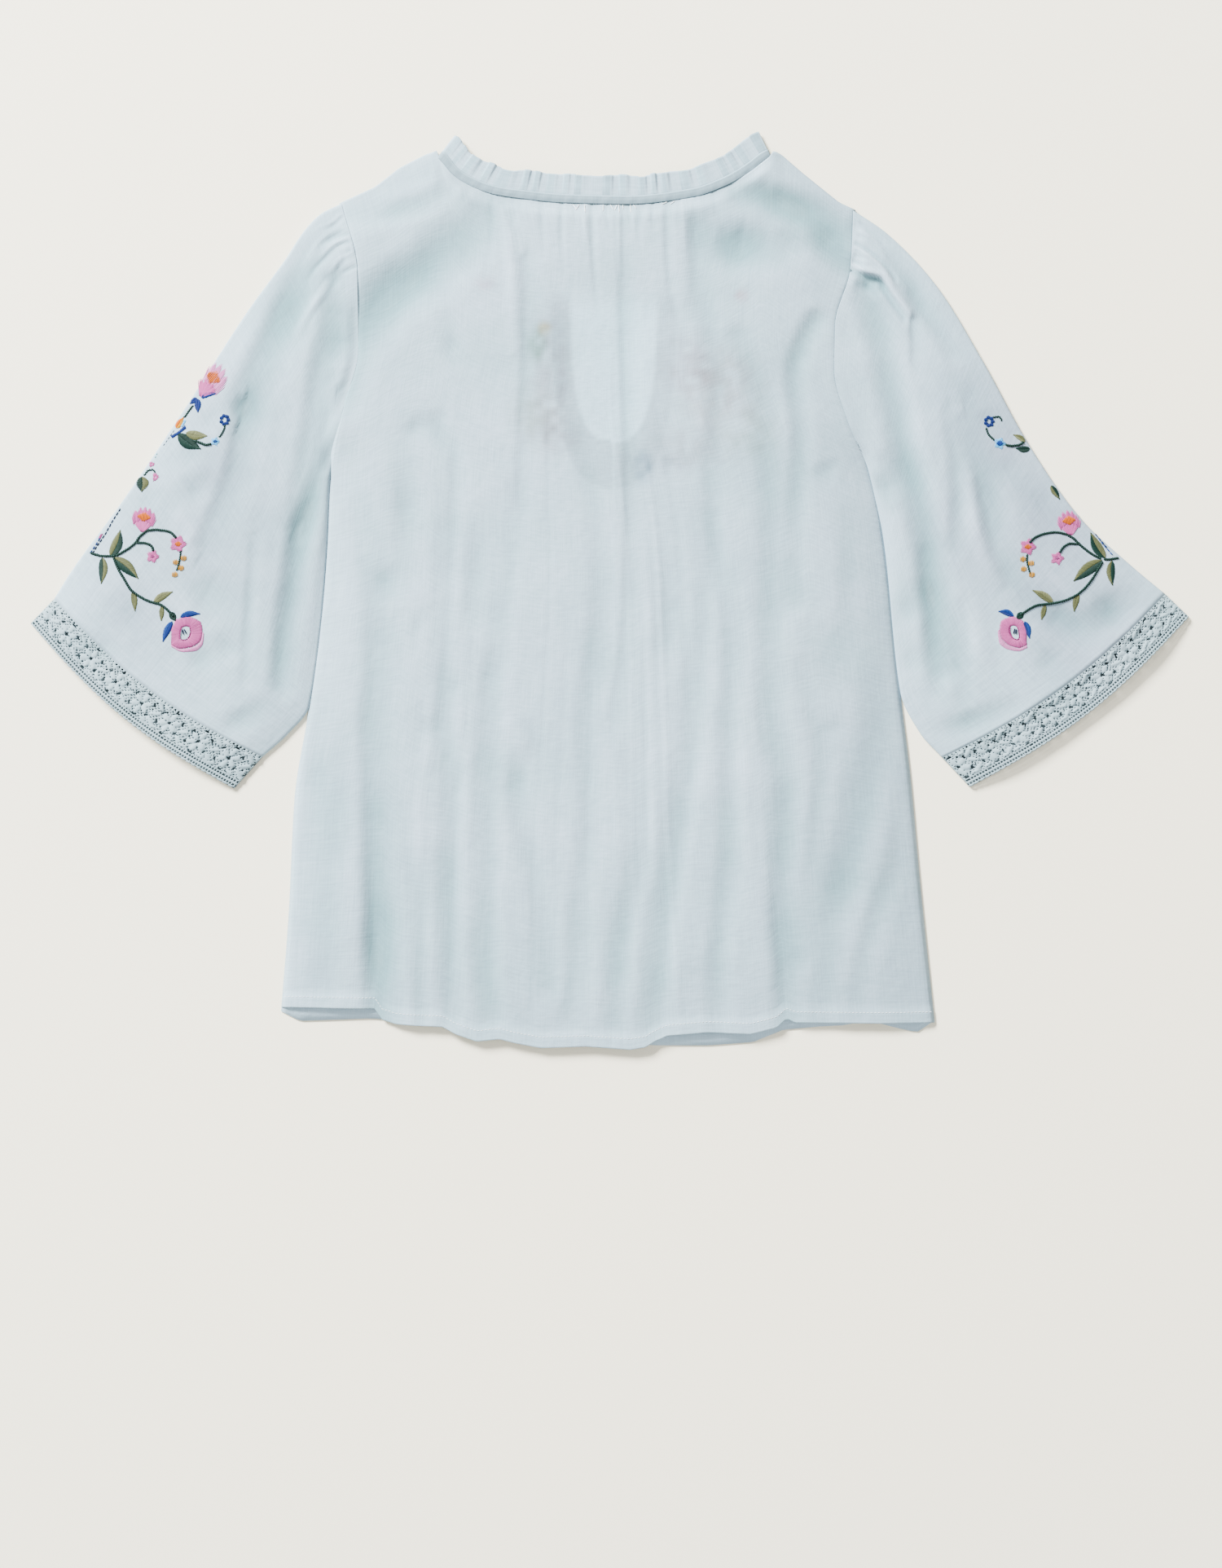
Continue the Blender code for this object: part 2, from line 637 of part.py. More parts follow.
def tube(name, plan, t, height, material, mirror):
    """A flattened tube: its upper layer across, the inner fold, the flat underside and the outer fold."""
    middle = UPPER_TOP / 2
    outside, inside = [], []
    for across in plan:
        width = np.linalg.norm(across[-1] - across[0])
        inset = np.concatenate([[FOLD_DEPTH], t[1:-1] * width, [width - FOLD_DEPTH]])
        upper = smooth(t, across, inset / width)
        z = height(upper, inset, width)
        lower = np.vstack([upper[-1:], upper[-3:1:-2], upper[:1]])
        plan_points = np.vstack([across[:1], upper, across[-1:], lower])
        heights = np.concatenate([[middle], z, [middle], np.zeros(len(lower))])
        walls = np.concatenate([[0], np.full(len(z), -WALL), [0], np.full(len(lower), WALL)])
        outside.append(np.column_stack([plan_points, heights]))
        drawn_in = plan_points.copy()
        along = (across[-1] - across[0]) / width
        for k, way in ((0, 1), (len(upper) + 1, -1)):
            drawn_in[k] = drawn_in[k] + way * along * 1.3 * WALL
        drawn_in[1] = drawn_in[1] + along * WALL
        drawn_in[-1] = drawn_in[-1] + along * WALL
        drawn_in[len(upper)] = drawn_in[len(upper)] - along * WALL
        drawn_in[len(upper) + 2] = drawn_in[len(upper) + 2] - along * WALL
        inside.append(np.column_stack([drawn_in, heights + walls]))
    outside, inside = np.array(outside), np.array(inside)
    if mirror < 0:
        outside, inside = outside[:, ::-1], inside[:, ::-1]
    return cloth(name, outside, inside, True, material)


def upper_heights(furrows, pleats, flatten=1.0):
    """A height function for the upper layer of a tube, flatter where it is a lace band."""

    def height(points, inset, width):
        edge = np.minimum(inset, width - inset)
        z = sleeve_height(points[:, 0], points[:, 1], edge, furrows, pleats)
        return UPPER_TOP + (z - UPPER_TOP) * flatten

    return height


def build_sleeve(name, lace_name, side, outer, inner, lace_edge, mirror, furrows, pleats):
    """One sleeve and its lace band, as flattened tubes that end at the armhole, their seam and the cuff."""
    plan, t = sleeve_plan(side, outer, inner, mirror, SLEEVE_STATIONS)
    tube(name, plan, t, upper_heights(furrows, pleats), "voile", mirror)

    seam = plan[-1]
    free = np.array(lace_edge)
    free = free[0] * (1 - t[:, None]) + free[1] * t[:, None]
    chord = free[-1] - free[0]
    outward = np.array([chord[1], -chord[0]]) * -mirror / np.linalg.norm(chord)
    free = free + CUFF_BULGE * np.sin(np.pi * t)[:, None] * outward
    width = np.linalg.norm(free[0] - seam[0])
    places = np.linspace(SEAM_GAP / width, 1, LACE_STATIONS)[:, None, None]
    band = seam * (1 - places) + free * places
    tube(lace_name, band, t, upper_heights(furrows, (), LACE_FULLNESS), "lace", mirror)


def neck_strip(name, every, widths, lift, wall):
    """A strip along the neck path: `widths` from the seam outwards, and `lift` for its waves."""
    path = np.array(NECK_PATH)
    knots = lengths_along(path[:, [0, 1, 3]])
    at = np.linspace(0, 1, RUFFLE_COLUMNS + 1)
    near_tip = smooth(knots, path[:, 1], at) > TIP_CLEAR - 10
    at = at[near_tip | (np.arange(RUFFLE_COLUMNS + 1) % every == 0)]
    x, y, points_to, z, on_back, wave = smooth(knots, path, at).T
    turn = np.radians(points_to)
    rings = []
    for width in widths:
        out = (width - widths[0]) / (widths[-1] - widths[0])
        raised = z + lift(at, on_back, wave, out)
        across = [x + width * np.cos(turn), y + width * np.sin(turn), raised]
        rings.append(np.stack(across, axis=1))
    return strip(name, np.array(rings), wall)


def build_binding():
    start = NECK_GAP
    neck_strip(
        "neck_binding",
        BINDING_EVERY,
        (start, start + 0.5 * BINDING_WIDTH, start + BINDING_WIDTH),
        lambda at, on_back, wave, out: BINDING_CROWN * np.sin(np.pi * out) * on_back,
        BINDING_WALL,
    )


def ruffle_waves(at, on_back, wave, out):
    """Uneven waves that grow to the free edge; under the back they only rise, as the surface is below them."""
    uneven = at + 0.006 * np.sin(2 * np.pi * 7 * at) + 0.004 * np.sin(2 * np.pi * 17 * at)
    return wave * out * (np.sin(2 * np.pi * RUFFLE_WAVES * uneven) + (1 - on_back))


def build_ruffle():
    start = NECK_GAP + BINDING_WIDTH + FRILL_GAP
    widths = start + RUFFLE_WIDTH * np.linspace(0, 1, RUFFLE_ROWS)
    neck_strip("neck_ruffle", 1, widths, ruffle_waves, WALL)


for old in list(bpy.data.objects):
    bpy.data.objects.remove(old)
collection = bpy.data.collections.new("Embroidered top")
bpy.context.scene.collection.children.link(collection)

build_back()
build_front()
build_facing()
build_sleeve(
    "sleeve_left",
    "cuff_lace_left",
    LEFT_SIDE,
    LEFT_OUTER,
    LEFT_INNER,
    LEFT_LACE_EDGE,
    -1,
    LEFT_SLEEVE_FURROWS,
    LEFT_CAP_PLEATS,
)
build_sleeve(
    "sleeve_right",
    "cuff_lace_right",
    RIGHT_SIDE,
    RIGHT_OUTER,
    RIGHT_INNER,
    RIGHT_LACE_EDGE,
    1,
    RIGHT_SLEEVE_FURROWS,
    RIGHT_CAP_PLEATS,
)
build_binding()
build_ruffle()
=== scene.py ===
import math

import bpy
import numpy as np
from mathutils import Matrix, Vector
from mathutils.bvhtree import BVHTree


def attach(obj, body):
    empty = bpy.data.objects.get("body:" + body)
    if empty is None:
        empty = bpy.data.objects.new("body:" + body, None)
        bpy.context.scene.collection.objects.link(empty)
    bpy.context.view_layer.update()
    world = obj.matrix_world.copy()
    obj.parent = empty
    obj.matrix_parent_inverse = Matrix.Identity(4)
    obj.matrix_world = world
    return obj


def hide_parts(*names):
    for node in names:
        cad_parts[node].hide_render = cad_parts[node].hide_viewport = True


# An embroidered peasant top of cotton voile, laid flat with its back up.
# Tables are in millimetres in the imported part's frame: +X is the viewer's right, +Y points to the neck and
# +Z up from the surface. "left" and "right" are the viewer's.

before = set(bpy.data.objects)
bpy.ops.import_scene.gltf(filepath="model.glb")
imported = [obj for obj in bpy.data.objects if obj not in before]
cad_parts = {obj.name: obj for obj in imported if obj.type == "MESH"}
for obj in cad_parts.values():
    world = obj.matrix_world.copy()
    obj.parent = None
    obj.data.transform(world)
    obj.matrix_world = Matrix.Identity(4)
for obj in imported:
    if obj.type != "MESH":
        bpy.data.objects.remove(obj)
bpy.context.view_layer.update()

MM = 0.001

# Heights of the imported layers: the lower layer's top, and an upper layer's top where it lies straight on it
LOWER_TOP = 1.0
UPPER_TOP = 2.5
# Thickness of the panels, of the facing and frill, of the folded binding and of the lace
CLOTH = 0.45
FINE_CLOTH = 0.35
FOLDED_CLOTH = 0.6
LACE_THREAD = 0.5
# Height of a flattened tube's folded edges
TUBE_EDGE = 1.25
# How far the full cloth stands above that, and how far in from a folded edge it is full
BODY_PUFF = 6.0
SLEEVE_PUFF = 5.4
EDGE_ROUNDING = 44.0
HEM_TURNING = 9.0

# Plan of the body: each side from the shoulder tip down the armhole and on to the hem
LEFT_SIDE = (
    # y, x
    (297.6, -205.8), (245.5, -193.4), (186.0, -192.8), (140.1, -204.6), (89.3, -214.5), (31.0, -216.4),
    (-84.9, -228.8), (-155.0, -239.9), (-241.8, -244.3), (-313.7, -249.9),
)
RIGHT_SIDE = (
    # y, x
    (292.6, 187.2), (248.0, 184.8), (204.6, 173.0), (170.5, 172.4), (130.2, 182.9), (94.9, 198.4),
    (43.4, 208.9), (-74.4, 221.3), (-136.4, 228.8), (-217.0, 236.2), (-325.5, 247.4),
)
LEFT_SHOULDER = (
    # x, y
    (-205.8, 297.6), (-178.6, 310.0), (-160.0, 324.5), (-140.7, 334.4), (-131.6, 337.6), (-130.4, 332.5),
)
RIGHT_SHOULDER = (
    # x, y
    (187.2, 292.6), (174.8, 298.2), (146.9, 320.6), (131.0, 334.4), (124.4, 337.6), (123.4, 334.0),
)
BACK_HEM = (
    # x, y
    (-249.9, -313.7), (-178.0, -315.0), (-174.0, -323.0), (-162.4, -326.7), (-147.0, -327.8), (-127.1, -328.6),
    (-117.2, -334.2), (-101.1, -339.8), (-83.7, -337.9), (-71.9, -341.0), (-52.1, -344.7), (-18.0, -343.5),
    (15.5, -346.0), (27.3, -344.1), (34.1, -339.8), (44.0, -335.4), (73.8, -332.9), (107.3, -334.2),
    (127.1, -329.2), (134.5, -322.4), (141.4, -325.5), (206.5, -326.1), (247.4, -325.5),
)
FRONT_HEM = (
    # x, y
    (-246.0, -317.0), (-231.9, -324.3), (-178.6, -322.4), (-116.6, -327.0), (-52.1, -337.0), (0.0, -340.5),
    (34.1, -342.9), (73.8, -342.9), (107.3, -340.4), (130.0, -331.0), (156.2, -328.6), (175.0, -327.6),
    (193.4, -324.0), (218.2, -330.4), (230.0, -332.9), (243.0, -324.0),
)
NOTCH_MIDDLE = 3.0
NOTCH_HALF_WIDTH = 33.0
NOTCH_TOP = 225.5
NOTCH_BOTTOM = 116.0
FACING_MARGIN = 14.0
FACING_BOTTOM = 81.0
# How square the notch's lower corners are: 2 would be an ellipse
NOTCH_CORNERS = 2.8

# Plan of each sleeve: its outer and inner edges from the armhole to the lace, and the lace's free edge
LEFT_OUTER = (
    # x, y
    (-205.8, 297.6), (-220.7, 290.2), (-233.1, 277.8), (-248.6, 254.2), (-275.3, 217.0), (-323.0, 142.6),
    (-370.8, 71.3), (-409.2, 18.6), (-422.8, -3.1),
)
LEFT_INNER = (
    # x, y
    (-214.5, 89.3), (-216.4, 31.0), (-228.8, -84.9), (-244.3, -105.4), (-264.1, -123.4),
)
RIGHT_OUTER = (
    # x, y
    (187.2, 292.6), (212.0, 275.3), (249.2, 235.6), (283.3, 179.8), (320.5, 112.2), (359.6, 57.0),
    (396.8, 22.3), (422.8, 0.6),
)
RIGHT_INNER = (
    # x, y
    (198.4, 94.9), (208.9, 43.4), (221.3, -74.4), (236.2, -105.4), (253.0, -124.0),
)
LEFT_LACE_EDGE = (
    # x, y
    (-440.8, -21.7), (-285.8, -147.6),
)
RIGHT_LACE_EDGE = (
    # x, y
    (440.8, -16.7), (274.0, -146.3),
)
CUFF_BULGE = 11.0
FREE_BELOW = -90.0
# How far a sleeve lies over the body at the armhole
ARMHOLE_OVERLAP = 1.8

# The seam between the neck edge and the binding, with the way that the frill points, in degrees from +X
NECK_PATH = (
    # x, y, points_to, z, on_back, wave
    (-33.0, 226.0, 86.0, 0.9, 0, 0.5),
    (-78.0, 248.0, 58.0, 0.9, 0, 0.5),
    (-114.0, 288.0, 30.0, 0.9, 0, 0.4),
    (-127.5, 318.0, 30.0, 0.9, 0, 0.1),
    (-131.0, 332.0, 52.0, 2.3, 0, 0.1),
    (-129.0, 330.4, 52.0, 3.2, 1, 0.5),
    (-119.0, 318.6, 52.0, 3.8, 1, 1.4),
    (-105.0, 310.0, 58.0, 4.2, 1, 1.6),
    (-87.0, 303.8, 67.0, 4.6, 1, 2.0),
    (-66.0, 300.6, 77.0, 4.8, 1, 2.0),
    (-36.0, 297.6, 85.0, 5.0, 1, 2.0),
    (13.6, 296.4, 91.0, 5.0, 1, 2.0),
    (63.2, 301.9, 103.0, 4.8, 1, 2.0),
    (88.0, 310.5, 115.0, 4.6, 1, 2.0),
    (106.6, 321.2, 123.0, 4.2, 1, 1.6),
    (118.6, 330.4, 120.0, 3.4, 1, 0.5),
    (122.6, 332.6, 116.0, 2.3, 0, 0.1),
    (120.0, 318.0, 150.0, 0.9, 0, 0.1),
    (108.0, 288.0, 150.0, 0.9, 0, 0.4),
    (80.0, 248.0, 122.0, 0.9, 0, 0.5),
    (39.0, 226.0, 94.0, 0.9, 0, 0.5),
)
TIP_CLEAR = 326.0
BINDING_WIDTH = 6.0
RUFFLE_WIDTH = 15.0
RUFFLE_WAVES = 42
STRIP_ROWS = 13
# The garment's middle in the photograph, in pixels, and its scale
PHOTO_MIDDLE = (748, 730)
MM_PER_PIXEL = 0.62


def smooth(knots, values, at):
    """A smooth curve through the values at the knots, with no overshoot, read at each place in `at`."""
    knots, at = np.asarray(knots), np.asarray(at)
    values = np.asarray(values)
    flat = values.ndim == 1
    values = values[:, None] if flat else values
    rise = np.diff(values, axis=0) / np.diff(knots)[:, None]
    before, after = rise[:-1], rise[1:]
    same_way = before * after > 0
    inner = np.where(same_way, 2 * before * after / np.where(same_way, before + after, 1), 0)
    slopes = np.concatenate([rise[:1], inner, rise[-1:]])
    first = np.clip(np.searchsorted(knots, at) - 1, 0, len(knots) - 2)
    step = (knots[first + 1] - knots[first])[:, None]
    t = (at - knots[first])[:, None] / step
    read = (
        (2 * t**3 - 3 * t**2 + 1) * values[first]
        + (t**3 - 2 * t**2 + t) * step * slopes[first]
        + (3 * t**2 - 2 * t**3) * values[first + 1]
        + (t**3 - t**2) * step * slopes[first + 1]
    )
    return read[:, 0] if flat else read


def lengths_along(points):
    """Distance along a line of points, from 0 to 1."""
    steps = np.linalg.norm(np.diff(points, axis=0), axis=1)
    total = np.concatenate([[0.0], np.cumsum(steps)])
    return total / total[-1]


def curve(points, at):
    """Points of the smooth curve through a table of points, at each fraction of its length."""
    points = np.array(points)
    return smooth(lengths_along(points), points, at)


def line(points, at):
    """The same along straight stretches, which keep the table's corners."""
    points = np.array(points)
    knots = lengths_along(points)
    return np.stack([np.interp(at, knots, points[:, k]) for k in (0, 1)], axis=1)


def ease(value, low, high):
    """0 below low, 1 above high and a soft step between."""
    t = np.clip((value - low) / (high - low), 0, 1)
    return t * t * (3 - 2 * t)


def rounded(inset, reach=EDGE_ROUNDING):
    """How full the cloth is at a distance in from a folded edge."""
    return np.sin(0.5 * np.pi * np.clip(inset / reach, 0, 1))


def soft_noise(x, y, size, seed):
    """Smooth random heights from -1 to 1, in bumps of one size."""
    grid = np.random.default_rng(seed).uniform(-1, 1, (128, 128))
    u, v = x / size + 500.0, y / size + 500.0
    i, j = np.floor(u).astype(int), np.floor(v).astype(int)
    s, t = u - i, v - j
    s, t = s * s * (3 - 2 * s), t * t * (3 - 2 * t)
    i, j, n, m = i % 128, j % 128, (i + 1) % 128, (j + 1) % 128
    near = grid[i, j] * (1 - s) + grid[n, j] * s
    far = grid[i, m] * (1 - s) + grid[n, m] * s
    return near * (1 - t) + far * t


def bell(t):
    """1 at 0, falling softly to 0 at 1 and beyond."""
    return 0.5 + 0.5 * np.cos(np.pi * np.clip(t, 0, 1))


def ridge(x, y, x0, y0, x1, y1, half_width, height):
    """Height of one narrow gather, which fades away from its start."""
    length = math.hypot(x1 - x0, y1 - y0)
    along_x, along_y = (x1 - x0) / length, (y1 - y0) / length
    t = ((x - x0) * along_x + (y - y0) * along_y) / length
    side = np.abs(-(x - x0) * along_y + (y - y0) * along_x)
    return height * bell(side / half_width) * ease(-t, -1, -0.1) * ease(t, -0.3, -0.05)


def side_x(side, y):
    """Where one side of the body is at each height."""
    knots, places = np.array(side[::-1]).T
    return smooth(knots, places, y.ravel()).reshape(y.shape)


def along_neck(at):
    """The neck path's columns at each fraction of its length."""
    path = np.array(NECK_PATH)
    return smooth(lengths_along(path[:, [0, 1, 3]]), path, at).T


def neck_line(on_back):
    """Closely spaced points of a panel's edge at the neck seam, in the path's order."""
    x, y, points_to, _, side, _ = along_neck(np.linspace(0, 1, 400))
    turn = np.radians(points_to)
    inset = 0.0 if on_back else 0.8
    points = np.stack([x - inset * np.cos(turn), y - inset * np.sin(turn)], axis=1)
    return points[(np.abs(side - on_back) < 0.02) & (y < TIP_CLEAR)]


BACK_TOP = np.vstack([LEFT_SHOULDER, neck_line(1), RIGHT_SHOULDER[::-1]])


def back_top_y(x):
    """Upper edge of the back at each x: shoulders and neckline."""
    return np.interp(x, *BACK_TOP.T)


def hem_y(x):
    """Height of the back's hem at each x."""
    knots, heights = np.array(BACK_HEM).T
    return np.interp(x, knots, heights)


def panel_plan(top, bottom, v):
    """Plan points of a panel: its top and bottom edges joined, and drawn in to the body's two sides."""
    u = np.linspace(0, 1, len(top))[:, None]
    left_y = top[0, 1] + (bottom[0, 1] - top[0, 1]) * v
    right_y = top[-1, 1] + (bottom[-1, 1] - top[-1, 1]) * v
    left_shift = side_x(LEFT_SIDE, left_y) - (top[0, 0] + (bottom[0, 0] - top[0, 0]) * v)
    right_shift = side_x(RIGHT_SIDE, right_y) - (top[-1, 0] + (bottom[-1, 0] - top[-1, 0]) * v)
    x = top[:, :1] * (1 - v) + bottom[:, :1] * v + (1 - u) * left_shift + u * right_shift
    y = top[:, 1:] * (1 - v) + bottom[:, 1:] * v
    return x, y


def notch(margin, depth, at):
    """The U-shaped notch, or a line round it, as a half superellipse from its left corner to its right one."""
    squareness = 2 / NOTCH_CORNERS
    turn = np.pi * at
    across = np.sign(np.cos(turn)) * np.abs(np.cos(turn)) ** squareness
    down = np.abs(np.sin(turn)) ** squareness
    x = NOTCH_MIDDLE - (NOTCH_HALF_WIDTH + margin) * across
    return np.stack([x, NOTCH_TOP - depth * down], axis=1)


def notch_half(y, margin, bottom):
    """Half the notch's width at each height, or that of a line round it."""
    down = np.clip((NOTCH_TOP - y) / (NOTCH_TOP - bottom), 0, 1)
    return (NOTCH_HALF_WIDTH + margin) * (1 - down**NOTCH_CORNERS) ** (1 / NOTCH_CORNERS)


# Materials

def linear(hex_colour):
    """An sRGB hex colour as the linear colour that a shader takes."""
    parts = [int(hex_colour[k : k + 2], 16) / 255 for k in (1, 3, 5)]
    parts = [c / 12.92 if c <= 0.04045 else ((c + 0.055) / 1.055) ** 2.4 for c in parts]
    return (*parts, 1.0)


def feed(tree, node, inputs):
    """Gives a node its values, and its links from sockets or from other nodes' first outputs."""
    for socket, value in inputs.items():
        if isinstance(value, bpy.types.Node):
            value = value.outputs[0]
        if isinstance(value, bpy.types.NodeSocket):
            tree.links.new(value, node.inputs[socket])
        else:
            node.inputs[socket].default_value = value


def add_node(tree, kind, inputs=None, **settings):
    """Adds one shader node with its settings and inputs."""
    made = tree.nodes.new("ShaderNode" + kind)
    for name, value in settings.items():
        setattr(made, name, value)
    feed(tree, made, inputs or {})
    return made


def mixed(tree, share, first, second, way="MIX"):
    """Two colours mixed or multiplied."""
    return add_node(tree, "Mix", {0: share, 6: first, 7: second}, data_type="RGBA", blend_type=way).outputs[2]


def new_material(name, inputs):
    """A material with its tree and its Principled shader."""
    material = bpy.data.materials.new(name)
    material.use_nodes = True
    tree = material.node_tree
    shader = tree.nodes["Principled BSDF"]
    feed(tree, shader, inputs)
    return material, tree, shader


def woven_cotton(name, colour, dark, roughness, crumple):
    """Plain-woven voile: fine uneven threads with slubs, a soft crumple and a little fuzz that brightens it."""
    fuzz = {"Roughness": roughness, "Sheen Weight": 0.1, "Sheen Roughness": 0.5, "Specular IOR Level": 0.2}
    material, tree, shader = new_material(name, fuzz)
    grain = add_node(tree, "UVMap", uv_map="grain")
    place = add_node(tree, "TexCoord").outputs["Object"]
    # Threads are about 0.3 mm apart, and drawn 1.6 mm apart so that they show
    ways = []
    for scale in ((620.0, 34.0, 1.0), (34.0, 620.0, 1.0)):
        way = add_node(tree, "Mapping", {"Vector": grain, "Scale": scale})
        ways.append(add_node(tree, "TexNoise", {"Vector": way, "Scale": 1.0, "Detail": 1.0}))
    threads = add_node(tree, "Math", dict(enumerate(ways)), operation="ADD")
    crinkle = add_node(tree, "TexNoise", {"Vector": place, "Scale": 130.0, "Detail": 3.0})
    mottle = add_node(tree, "TexNoise", {"Vector": place, "Scale": 22.0, "Detail": 2.0})
    shade = add_node(tree, "MapRange", {"Value": threads, "From Min": 0.7, "From Max": 1.3})
    patch = add_node(
        tree, "MapRange", {"Value": mottle, "From Min": 0.3, "From Max": 0.7, "To Min": -0.25, "To Max": 0.25}
    )
    share = add_node(tree, "Math", {0: shade, 1: patch}, operation="ADD", use_clamp=True)
    cloth = mixed(tree, share, linear(dark), linear(colour))
    # Each piece's tint holds painted shade and painted highlight, besides what shows through and random patches
    cloth = mixed(tree, 1.0, cloth, add_node(tree, "Attribute", attribute_name="tone_and_painted_shade"), "MULTIPLY")
    soft = add_node(tree, "Bump", {"Height": crinkle, "Strength": 0.7, "Distance": crumple})
    woven = add_node(tree, "Bump", {"Height": threads, "Strength": 0.3, "Distance": 0.0003, "Normal": soft})
    feed(tree, shader, {"Base Color": cloth, "Normal": woven})
    return material


def embroidery_thread():
    """Rayon embroidery thread: a smooth twisted filament with a silky gleam; each stitch has its own dye lot."""
    silky = {"Roughness": 0.55, "Specular IOR Level": 0.12}
    material, tree, shader = new_material("rayon embroidery thread", silky)
    dye = add_node(tree, "Attribute", attribute_name="dye")
    place = add_node(tree, "TexCoord").outputs["Object"]
    # The twist of the filament is about 0.3 mm long, and drawn 0.6 mm
    twist = add_node(tree, "TexNoise", {"Vector": place, "Scale": 1600.0, "Detail": 1.0})
    depth = add_node(
        tree, "MapRange", {"Value": twist, "From Min": 0.3, "From Max": 0.7, "To Min": 0.86, "To Max": 1.08}
    )
    bump = add_node(tree, "Bump", {"Height": twist, "Strength": 0.4, "Distance": 0.0002})
    feed(tree, shader, {"Base Color": mixed(tree, 1.0, dye, depth, "MULTIPLY"), "Normal": bump})
    return material


VOILE = woven_cotton("cotton voile", "#9fb7c4", "#92aab7", 0.88, 0.0005)
TRIM_VOILE = woven_cotton("doubled cotton voile", "#7b919b", "#718893", 0.9, 0.0003)
LACE_COTTON = woven_cotton("crocheted cotton", "#8fa5ad", "#849ba3", 0.92, 0.0002)
THREAD = embroidery_thread()


# Cloth meshes

def select_only(piece):
    """Makes a piece the only one selected, and the active one."""
    bpy.ops.object.select_all(action="DESELECT")
    bpy.context.view_layer.objects.active = piece
    piece.select_set(True)


def new_piece(name, points, faces, material, layer_name, colours):
    """A mesh object through points in millimetres, with a colour at each of them."""
    mesh = bpy.data.meshes.new(name)
    mesh.from_pydata((points * MM).tolist(), [], faces)
    layer = mesh.attributes.new(layer_name, "FLOAT_COLOR", "POINT")
    layer.data.foreach_set("color", colours.ravel())
    mesh.shade_smooth()
    mesh.materials.append(material)
    piece = bpy.data.objects.new(name, mesh)
    bpy.context.scene.collection.objects.link(piece)
    return piece


def cloth_piece(name, rings, closed, material, thickness, grain, tint=None, keep=None):
    """A thin shell of cloth through rows of points, with its grain as a UV map; `keep` leaves out its holes."""
    rows, columns = rings.shape[:2]
    around = np.arange(columns if closed else columns - 1)
    ahead = (around + 1) % columns
    start = np.arange(rows - 1)[:, None] * columns
    corners = [start + around, start + ahead, start + columns + ahead, start + columns + around]
    faces = np.stack(corners, axis=2)
    across = np.broadcast_to(np.stack([around, around + 1, around + 1, around], axis=1), faces.shape)
    down = np.broadcast_to(np.arange(rows - 1)[:, None, None] + np.array([0, 0, 1, 1]), faces.shape)
    keep = np.ones(faces.shape[:2], bool) if keep is None else keep
    tint = np.ones(rings.shape) if tint is None else tint
    colours = np.dstack([tint, np.ones((rows, columns))])
    piece = new_piece(name, rings.reshape(-1, 3), faces[keep].tolist(), material, "tone_and_painted_shade", colours)
    uv = piece.data.uv_layers.new(name="grain")
    uv.data.foreach_set("uv", np.stack([grain[0][across[keep]], grain[1][down[keep]]], axis=2).ravel() * MM)
    select_only(piece)
    if not keep.all():
        bpy.ops.object.mode_set(mode="EDIT")
        bpy.ops.mesh.select_all(action="SELECT")
        bpy.ops.mesh.delete_loose()
        bpy.ops.object.mode_set(mode="OBJECT")
    shell = piece.modifiers.new("shell", "SOLIDIFY")
    shell.thickness, shell.offset, shell.use_even_offset = thickness * MM, -1.0, False
    bpy.ops.object.modifier_apply(modifier=shell.name)
    piece.select_set(False)
    points = np.empty(len(piece.data.vertices) * 3)
    piece.data.vertices.foreach_get("co", points)
    points[2::3] = np.maximum(points[2::3], 0.0)
    piece.data.vertices.foreach_set("co", points)
    return piece


# Body panels

def spot(px, py):
    """A place on the garment, in millimetres, from the place in the photograph where it is seen."""
    return np.array([(px - PHOTO_MIDDLE[0]) * MM_PER_PIXEL, (PHOTO_MIDDLE[1] - py) * MM_PER_PIXEL])


def spots(*places):
    """Several such places."""
    return np.array([spot(*place) for place in places])


def crease(x, y, row):
    """Depth of one crease along a line seen in the photograph: its depths, how far it reaches, and its places."""
    first, middle, last, left, right, *places = row
    points = spots(*places)
    if len(points) > 2:
        points = curve(points, np.linspace(0, 1, 3 * len(points)))
    knots = lengths_along(points)
    depth = np.zeros(np.shape(x))
    low, high = points.min(axis=0) - max(left, right), points.max(axis=0) + max(left, right)
    beside = (x > low[0]) & (x < high[0]) & (y > low[1]) & (y < high[1])
    if not beside.any():
        return depth
    x, y = x[beside], y[beside]
    nearest = np.full(len(x), np.inf)
    side, along = np.zeros(len(x)), np.zeros(len(x))
    for k, step in enumerate(np.diff(points, axis=0)):
        from_x, from_y = x - points[k, 0], y - points[k, 1]
        t = np.clip((from_x * step[0] + from_y * step[1]) / math.hypot(*step) ** 2, 0, 1)
        away = np.hypot(from_x - t * step[0], from_y - t * step[1])
        closer = away < nearest
        nearest = np.where(closer, away, nearest)
        side = np.where(closer, from_x * step[1] - from_y * step[0], side)
        along = np.where(closer, knots[k] + t * (knots[k + 1] - knots[k]), along)
    across = bell(nearest / np.where(side > 0, left, right))
    depth[beside] = np.interp(along, [0.0, 0.45, 1.0], [first, middle, last]) * across
    return depth


